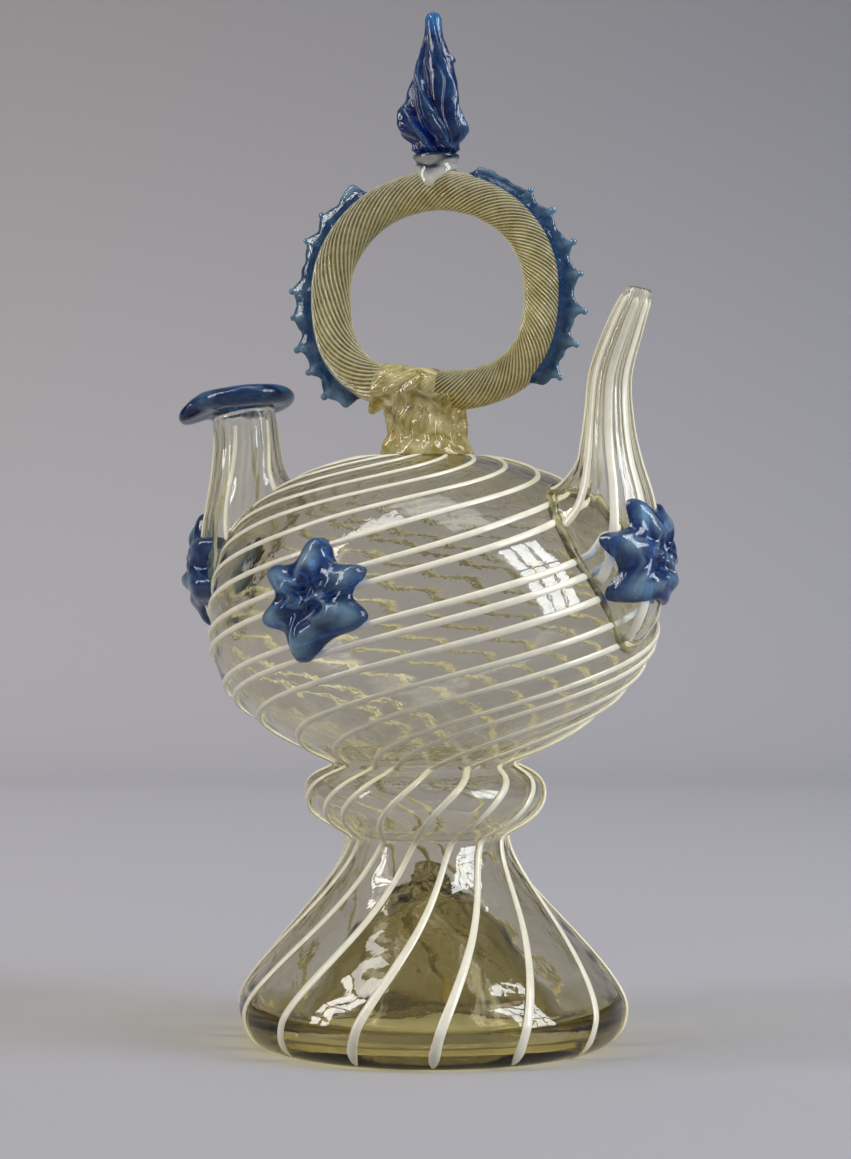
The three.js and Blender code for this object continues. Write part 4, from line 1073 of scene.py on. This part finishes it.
# %% The stem
def stem(rows=70, columns=200, rings=14):
    """A wrinkled column. Its sides run from a spread foot to the top, the bottom lies on the
    globe, and the top follows the underside of the ring."""
    share, a = grid(rows, columns)
    crinkle = 0.45 * cos(9 * a + 5 * share) + 0.35 * cos(14 * a - 7 * share + 1)
    crinkle = crinkle + 0.3 * sin(11 * share + 3 * a)
    crinkle = crinkle + 0.3 * abs(sin(17 * a + 6 * sin(4 * share))) * sin(pi * share)
    radius = 13.0 - 2.6 * smooth(share, 0, 0.35) + 0.7 * smooth(share, 0.7, 1)
    radius = radius + crinkle * smooth(share, 0, 0.2)
    across = linspace(0.02, 1, rings)[:, None]
    lower, upper = across * radius[0], (across * radius[-1])[::-1]
    radii = concatenate([lower, radius[1:-1], upper])
    rise = concatenate([0 * lower, share[1:-1] + 0 * a, 0 * upper + 1])
    x, y = radii * cos(a) + lean(TOP), radii * sin(a)
    dip = interp(hypot(x + 2, y), GLOBE_LINE[::-1, 0], GLOBE_LINE[::-1, 1]) + 0.1
    off, clear = beside_ring(x, y), TUBE + 0.12
    under = RING_CENTRE - RING_UP - sqrt(clip(clear**2 - off**2, 0, None)) - 0.05
    top = minimum(176.1 + 0.4 * cos(5 * a), np.where(abs(off) < clear, under, 176.6))
    return closed(point(x, y, dip + (top - dip) * rise))


finished("stem_glass", [stem()], STRAW, "straw_glass", "stem")

# %% [markdown]
# ## The crests
#
# A trail of blue glass was laid along the outside of the ring on each side and pinched with
# pincers into a row of spikes, so it is thin at each spike and every spike ends in a small knob.
# It is an arch-shaped section carried along the ring, and its height follows a list of pinches.

# %% Pinched crests
# Each crest: its first and last angle, its pinches, 1 for a blob at its start, the height of its
# web, the degrees in which a spike falls to a third, and by how much its height is scaled where.
CRESTS = {
    "left": (123.5, 237, [145.5, 157.5, 178.5, 186.5, 199, 209.5, 222], 1, 3.1, 2.5,
             ([150, 186, 210], [0.92, 1.16, 1.0])),
    "right": (-46, 74, [-35, -20, -7, 5, 18, 33.5, 46], 0, 2.6, 1.7, ([0, 40], [1.0, 0.64])),
}
SPIKE = 5.9  # full height of a spike over the rod


def crest(first, last, spikes, blob, web, fall, reach, rows=460, columns=26):
    """An arch on the ring's outside. Its height falls away from each pinch to the web within a few
    degrees, is scaled by its reach along the ring, and the width shrinks up the web and swells
    again in the knob on each spike. Also how pale each point is: paler on the knobs, on the end
    lobes and towards the top of the web."""
    angle, spikes = linspace(first, last, rows), np.array(spikes)
    off = abs(angle[:, None] - spikes)
    size = 1 + 0.12 * cos(spikes * 1.7)
    spike = (np.exp(-(sqrt(off**2 + 0.12) - 0.35) / fall) * size).max(1)
    knob = (hill(off, 0, 1.3) * size).max(1)
    ends = smooth(angle, first, first + 4) * (1 - smooth(angle, last - 4, last))
    lobe = blob * hill(angle, first + 6.5, 4.0) + 0.5 * hill(angle, last - 7, 5)
    height = web + 0.25 * sin(angle * 0.9) + (SPIKE - web) * spike + 1.9 * lobe
    top = 0.25 + height * ends * interp(angle, *reach)
    v = linspace(-pi / 2, pi / 2, columns - 6)
    up = cos(v) ** 0.8
    half = 2.6 - 1.35 * smooth(up, 0, 0.5) + (0.8 * lobe - 0.35 * knob)[:, None] * smooth(up, 0.45, 0.8)
    half = half * (0.5 + 0.5 * ends[:, None])
    side = concatenate([half * sin(v), linspace(1, -1, 8)[None, 1:-1] * half[:, -1:]], 1)
    seat = sqrt(maximum((TUBE + 0.08) ** 2 - side**2, 0))
    arch = concatenate([up, np.zeros(6)])
    rise = seat + top[:, None] * arch
    pale = clip(0.6 * knob + 0.95 * lobe, 0, 1)[:, None] * smooth(arch, 0.1, 0.9) + 0.3 * arch**2
    skin = closed(around_ring(radians(angle)[:, None], np.arctan2(side, rise), hypot(side, rise)))
    middle, out, _ = ring_line(radians(spikes))
    knobs = [ball(m + o * (TUBE + tip - 0.45), 0.95 * n)
             for m, o, tip, n in zip(middle, out, interp(spikes, angle, top), size)]
    return [skin, *knobs], pale


for name, form in CRESTS.items():
    skins, pale = crest(*form)
    finished(f"crest_{name}_glass", skins, TEAL, "blue_glass", f"crest_{name}",
             crease=80, rest=0.7, pale=pale)

# %% [markdown]
# ## The collar and the flame
#
# A ringed collar of clear glass with some blue swirled in carries the finial, a gather of blue
# glass that was twisted while it was pulled to a point. Its ridges follow the twist, and two
# leaves were drawn out near its foot.

# %% Collar
RING_TOP, COLLAR_HEIGHT = 236.6, 4.2


def collar(rows=60, columns=72):
    """A short stack of two soft rings whose underside is cut to the ring handle. Also how much
    blue glass is swirled into each point of the upper ring."""
    share, a = grid(rows, columns)
    radius = 5.3 + 0.55 * abs(sin(2.2 * pi * share + 0.25 * sin(a)))
    radius = radius + 0.8 * smooth(share, 0.55, 0.85)
    radius = radius * sqrt(clip(minimum(share / 0.05, (1 - share) / 0.04), 0.0004, 1))
    x, y = RING_MIDDLE + radius * cos(a), radius * sin(a)
    saddle = sqrt(clip((TUBE + 0.1) ** 2 - beside_ring(x, y) ** 2, 0, None))
    low = RING_TOP - TUBE + saddle - 0.012 * (x - RING_MIDDLE) ** 2 + 0.05
    z = low + (RING_TOP + COLLAR_HEIGHT - low) * smooth(share, 0, 1) ** 0.9
    wisp = sin(a + 9 * share) + 0.5 * sin(3 * a - 14 * share)
    return closed(point(x, y, z)), smooth(share, 0.36, 0.5) * smooth(wisp, -1.2, 0.1)


collar_skin, collar_blue = collar()
finished("collar_glass", [collar_skin], SWIRL, "clear_glass", "finial_collar", blue=collar_blue)

# %% Flame finial
FLAME_START, FLAME_HEIGHT = RING_TOP + 4.5, 38.8
FLAME_SHARES = [0, 0.03, 0.075, 0.1, 0.15, 0.22, 0.35, 0.51, 0.65, 0.75, 0.81, 0.89, 0.95, 0.985, 1]
FLAME_RADII = [5.3, 7.0, 6.6, 7.3, 8.5, 8.7, 8.2, 7.2, 5.3, 3.7, 3.1, 2.7, 2.6, 1.8, 0.1]
# Each leaf or bulge: its azimuth, the share of the height it is at, how far it reaches, its width
# in radians and its height as a share.
LEAVES = [(213, 0.215, 3.4, 0.34, 0.125), (232, 0.17, 1.2, 0.25, 0.06), (33, 0.67, 1.1, 0.28, 0.03),
          (20, 0.14, 0.8, 0.5, 0.07), (300, 0.4, 0.6, 0.2, 0.12)]


def flame(rows=260, columns=200):
    """Twisted ridges round a tapering outline: a ridge rises slowly round its fifth of a turn and
    falls sharply, with finer folds between, and a leaf is a hill at one side and height. Also how
    pale each of its points is: a painted highlight along the sharp edge of each fold and finer
    fold, and the paler thin glass towards the tip."""
    share, a = grid(rows, columns)
    turn = (a + radians(150) * share + 0.25 * sin(7 * share + a)) / (2 * pi)
    ramp = 5 * turn % 1
    fold = ramp * (1 - smooth(ramp, 0.84, 1))
    fine = (12 * turn + 0.6 * sin(9 * share)) % 1
    fine = fine * (1 - smooth(fine, 0.75, 1))
    body = 1 - smooth(share, 0.72, 0.85) * 0.8
    ragged = 0.02 * sin(31 * share + 4 * a) * fold
    folded = 0.87 + (0.30 * (fold - 0.5) + 0.1 * (fine - 0.5) + ragged) * body
    radius = interp(share, FLAME_SHARES, FLAME_RADII) * folded
    for azimuth, level, reach, width, tall in LEAVES:
        off = np.angle(np.exp(1j * (a - radians(azimuth))))
        radius = radius + reach * hill(off, 0, width) * hill(share, level, tall, 4)
    # Painted highlight along the sharp edge of each fold and each finer fold; the tip is paler thin glass.
    pale = 0.55 * fold**3 * body + 0.2 * fine**2 + 0.75 * smooth(share, 0.8, 0.92)
    x = RING_MIDDLE - 0.9 * share + radius * cos(a)
    return closed(point(x, radius * sin(a), FLAME_START + share * FLAME_HEIGHT)), clip(pale, 0, 1)


flame_skin, flame_pale_and_highlights = flame()
finished("flame_glass", [flame_skin], FLAME, "blue_glass", "finial", crease=80, pale=flame_pale_and_highlights)

# %% [markdown]
# ## The room
#
# The jug stands on a floor that sweeps up into a grey backdrop, so there is no line behind it, and
# the grey is painted lighter and darker across it to stand in for the fall of the light. Clear
# glass only shows what is round it, so the grey is part of the look, and the lamps are large soft
# panels that leave long highlights on the walls.

# %% Floor and backdrop
VIEW = radians(33)


def from_camera(right, back, up):
    """Points given by how far they are to the right of, behind and above the foot, for the
    camera."""
    return point(*spun(right, back, VIEW), up)


def sweep(width=24.0, depth=0.9, radius=0.5, height=2.6, front=14.0):
    """A strip of points: a level floor, a quarter circle and an upright wall, as wide as said,
    turned to face the camera."""
    bend = linspace(0, pi / 2, 24)
    floor = stack([linspace(-front, depth, 8), np.zeros(8)], -1)
    curve = stack([depth + radius * sin(bend), radius * (1 - cos(bend))], -1)
    wall = stack([np.full(5, depth + radius), linspace(radius + 0.2, height, 5)], -1)
    path = concatenate([floor[:-1], curve, wall])
    points = from_camera(linspace(-width / 2, width / 2, 25), path[:, :1], path[:, 1:])
    n, m = points.shape[:2]
    i, j = np.arange(n - 1)[:, None] * m, np.arange(m - 1)[None, :]
    quads = stack([i + j, i + j + 1, i + m + j + 1, i + m + j], -1).reshape(-1, 4)
    mesh = bpy.data.meshes.new("sweep")
    mesh.from_pydata(points.reshape(-1, 3).tolist(), [], quads.tolist())
    mesh.polygons.foreach_set("use_smooth", np.ones(len(quads), bool))
    return mesh


def paper(name):
    """Matt grey paper with painted light and shade. The floor is painted lighter towards the back
    and far from the jug, where less light falls, and the upright part is painted darker with height
    and a little cooler to the right."""
    material, start = new_finish(name)
    x, y, height = coordinates(start.node("TexCoord", output=3))
    back, right = spun(y, x, VIEW)
    deep, across = ranged(back, 0.0, 0.8), ranged(right, -0.35, 0.35)
    # Painted light and shade: each of these greys stands in for how much lamp light falls there.
    left_floor = blend(deep, (0.345, 0.33, 0.35), (0.60, 0.58, 0.615))
    right_floor = blend(deep, (0.30, 0.30, 0.325), (0.48, 0.48, 0.52))
    high = ranged(height, 0.0, 0.6)
    left_wall = blend(high, (0.61, 0.585, 0.60), (0.395, 0.375, 0.365))
    right_wall = blend(high, (0.495, 0.49, 0.535), (0.28, 0.278, 0.305))
    # Painted light: the far floor turns pale where the lamps no longer reach.
    far = ranged((x * x + y * y) ** 0.5, 1.1, 2.6)
    floor = blend(far, blend(across, left_floor, right_floor), (0.95, 0.94, 0.96))
    grey = blend(ranged(height, 0.0, 0.015), floor, blend(across, left_wall, right_wall))
    surface = start.node("BsdfPrincipled", Base_Color=grey, Roughness=0.9)
    start.node("OutputMaterial", Surface=surface)
    return material


backdrop = added("backdrop", sweep())
backdrop.data.materials.append(paper("grey_paper"))
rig.stage(backdrop)
print("backdrop:", len(backdrop.data.polygons), "faces")


# %% Camera
def looking(made, position, target):
    """Puts an object at a position and points its -Z at a target, in metres about the foot."""
    made.location = Vector(position) + Vector(AXIS * MM)
    made.rotation_euler = (Vector(target) - Vector(position)).to_track_quat("-Z", "Y").to_euler()


LONG_SIDE, FOCAL, SENSOR = 1159, 2941, 36  # two in pixels of the picture, one in millimetres
EYE_HEIGHT, DISTANCE = 0.134, 0.8
camera = added("camera", bpy.data.cameras.new("camera"))
looking(camera, from_camera(0, -DISTANCE, EYE_HEIGHT), from_camera(0, 0, EYE_HEIGHT))
camera.data.sensor_width = SENSOR
camera.data.lens = FOCAL / LONG_SIDE * SENSOR
camera.data.shift_x, camera.data.shift_y = -7.5 / LONG_SIDE, -31.5 / LONG_SIDE
camera.data.clip_end = 20
bpy.context.scene.camera = camera
print("camera:", round(camera.data.lens, 1), "mm lens")


# %% Lamps and world
AIM = from_camera(0, 0, 0.12)


def panel(name, position, size, power, tone=(1, 1, 1), target=AIM):
    """A soft rectangular lamp that points at the jug, or at another target."""
    lamp = bpy.data.lights.new(name, "AREA")
    lamp.shape, lamp.size, lamp.size_y = "RECTANGLE", *size
    lamp.energy, lamp.color = power, tone
    looking(added(name, lamp), position, target)


def window(name, position, columns, rows, pane, bar, power, tone, target=AIM):
    """Panes of light in columns and rows, parted by dark bars, like a tall window."""
    towards = unit(target - position)
    right = unit(np.cross(towards, [0, 0, 1]))
    up = np.cross(right, towards)
    for i in range(columns):
        for j in range(rows):
            shift = right * (i - (columns - 1) / 2) * (pane[0] + bar)
            shift = shift + up * (j - (rows - 1) / 2) * (pane[1] + bar)
            panel(f"{name}_{i}_{j}", position + shift, pane, power, tone, target + shift)


window("window_right", from_camera(0.95, -0.42, 0.70), columns=3, rows=3, pane=(0.145, 0.32),
       bar=0.035, power=1.9, tone=(0.92, 0.96, 1))
window("window_left", from_camera(-1.0, -0.35, 0.75), columns=2, rows=3, pane=(0.12, 0.30),
       bar=0.04, power=1.6, tone=(1, 0.98, 0.95))
panel("skylight", from_camera(-0.45, -0.15, 1.25), size=(0.14, 0.6), power=2)
panel("overhead", from_camera(0.1, 0.1, 1.7), size=(0.9, 0.5), power=3)
world = bpy.data.worlds.new("soft_room")
world.use_nodes = True
background = world.node_tree.nodes["Background"]
background.inputs["Color"].default_value = (0.64, 0.63, 0.65, 1)
background.inputs["Strength"].default_value = 0.33
scene = bpy.context.scene
scene.world = world
scene.view_settings.view_transform = "Standard"
for setting, value in {
    "max_bounces": 24, "transmission_bounces": 20, "transparent_max_bounces": 24, "glossy_bounces": 6,
    "diffuse_bounces": 3, "caustics_reflective": False, "caustics_refractive": True,
    "sample_clamp_indirect": 3,
}.items():
    setattr(scene.cycles, setting, value)
print("lamps:", sum(made.type == "LIGHT" for made in scene.objects))

# %% The two boxes, and the end
with open("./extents.json", "w") as sizes:
    json.dump({"cad": CAD_BOX, "visual": [list(corner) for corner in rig.bounds()]}, sizes)
print(open("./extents.json").read())
